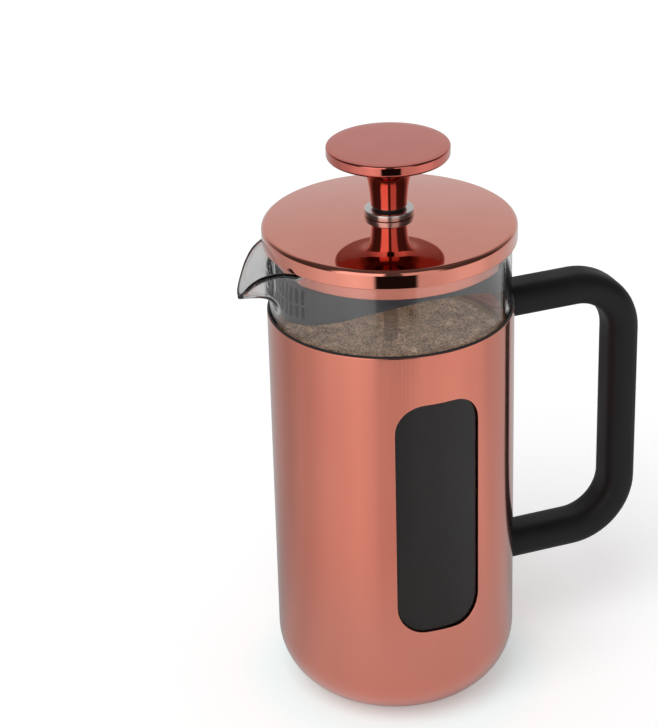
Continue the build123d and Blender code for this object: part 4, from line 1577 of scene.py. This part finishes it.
def makeFoamColourAndGlow(wall):
    # tiny bubbles between the modelled ones, a golden ring along the glass, and a painted glow
    material, nodes, links, shader = startMaterial("coffeeFoam")
    coords = nodes.new("ShaderNodeTexCoord")
    cells = nodes.new("ShaderNodeTexVoronoi")
    cells.inputs["Scale"].default_value = 850.0
    links.new(coords.outputs["Object"], cells.inputs["Vector"])
    rims = smoothStep(nodes, links, cells.outputs["Distance"], 0.15, 0.75)
    tint = mixColours(nodes, links, rims, (0.36, 0.215, 0.135, 1), (0.86, 0.60, 0.42, 1))
    reach = fromAxis(nodes, links, partsOf(nodes, links, "Object"))
    nearWall = smoothStep(nodes, links, reach, wall - 0.0026, wall - 0.0006)
    tint = mixColours(nodes, links, nearWall, tint, (0.42, 0.24, 0.08, 1))
    links.new(tint, shader.inputs["Base Color"])
    # painted light: the foam glows in its own colour, standing in for light that the lid and glass keep
    # from it
    links.new(tint, shader.inputs["Emission Color"])
    shader.inputs["Emission Strength"].default_value = 0.13
    shader.inputs["Roughness"].default_value = 0.45
    shader.inputs["Specular IOR Level"].default_value = 0.35
    addBump(nodes, links, shader, cells.outputs["Distance"], 0.45, 0.0004)
    return material


def makeBubbleColourAndGlow():
    material, nodes, links, shader = startMaterial("bubbleFilm")
    cloud = stretchedNoise(nodes, links, 160.0, (1, 1, 1), 3.0)
    tint = mixColours(nodes, links, mapTo(nodes, links, cloud, 0, 1), (0.34, 0.21, 0.13, 1),
                      (0.95, 0.70, 0.52, 1))
    links.new(tint, shader.inputs["Base Color"])
    # painted light: the bubbles glow in their own colour
    links.new(tint, shader.inputs["Emission Color"])
    shader.inputs["Emission Strength"].default_value = 0.15
    shader.inputs["Roughness"].default_value = 0.12
    shader.inputs["Specular IOR Level"].default_value = 0.45
    return material


def makeBubbles(sizes, seed, material):
    tree, given = startTree("foamBubbles", sizes)
    disc = put(tree, "GeometryNodeMeshCircle", {"fill_type": "TRIANGLE_FAN"}, Vertices=96,
               Radius=given["Radius"])
    place = put(tree, "GeometryNodeInputPosition").outputs[0]
    reach = put(tree, "ShaderNodeVectorMath", {"operation": "LENGTH"})
    tree.links.new(place, reach.inputs[0])
    rimAt = calc(tree, "MULTIPLY", given["Radius"], given["Rim share"])
    spread = put(tree, "GeometryNodeDistributePointsOnFaces", Mesh=disc.outputs[0],
                 Density=given["Density"], Seed=seed)
    rimSpread = put(tree, "GeometryNodeDistributePointsOnFaces", Mesh=disc.outputs[0],
                    Density=given["Rim density"], Seed=seed + 1)
    rimOnly = put(tree, "GeometryNodeDeleteGeometry", Geometry=rimSpread.outputs["Points"],
                  Selection=calc(tree, "LESS_THAN", reach.outputs["Value"], rimAt))
    points = tree.nodes.new("GeometryNodeJoinGeometry")
    tree.links.new(spread.outputs["Points"], points.inputs[0])
    tree.links.new(rimOnly.outputs[0], points.inputs[0])
    chance = put(tree, "FunctionNodeRandomValue", {"data_type": "FLOAT"}, Seed=seed + 2)
    roll = [socket for socket in chance.outputs if socket.enabled][0]
    extra = calc(tree, "MULTIPLY", calc(tree, "POWER", roll, given["Mostly small"]),
                 calc(tree, "SUBTRACT", given["Large"], given["Small"]))
    size = calc(tree, "ADD", given["Small"], extra)
    dome = put(tree, "GeometryNodeMeshUVSphere", Segments=8, Rings=6, Radius=1.0)
    laid = put(tree, "GeometryNodeInstanceOnPoints", Points=points.outputs[0], Instance=dome.outputs[0],
               Scale=vector(tree, size, size, calc(tree, "MULTIPLY", size, given["Flatness"])))
    raised = put(tree, "GeometryNodeTransform", Geometry=laid.outputs[0],
                 Translation=vector(tree, z=given["Height"]))
    endTree(tree, raised.outputs[0], material)
    return grow("foamBubbles", tree, sizes)


def makeDrink(s):
    bore = s["bore"] + s["wetting"]
    floor = s["floor"] - s["wetting"]
    corner, level = s["corner"], s["level"]
    outline = [(0.0, floor), ((bore - corner) / 2, floor)]
    outline += arcPoints((bore - corner, floor + corner), corner, -90, 0, 14)
    outline += [(bore, level - s["coffeeUnder"]), (0.0, level - s["coffeeUnder"])]
    coffee = turned("coffee", outline, 128)
    coffee.data.materials.append(makeCoffeeColour())
    foamLine = [(0.0, level - s["foamUnder"]), (bore, level - s["foamUnder"])]
    foamLine += [(bore, level + s["meniscus"])]
    foamLine += [(bore - inward, level + rise) for inward, rise in s["climb"]]
    foamLine += [(bore * k / 8, level) for k in range(7, 0, -1)] + [(0.0, level)]
    foam = turned("foam", foamLine, 128, sharpAngle=60)
    foam.data.materials.append(makeFoamColourAndGlow(bore * mm))
    bubbles = makeBubbles(bubbleSet, s["bubbleSeed"], makeBubbleColourAndGlow())
    for part in (coffee, foam, bubbles):
        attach(part, "beaker")


makeDrink(drinkSet)
print("drink poured")
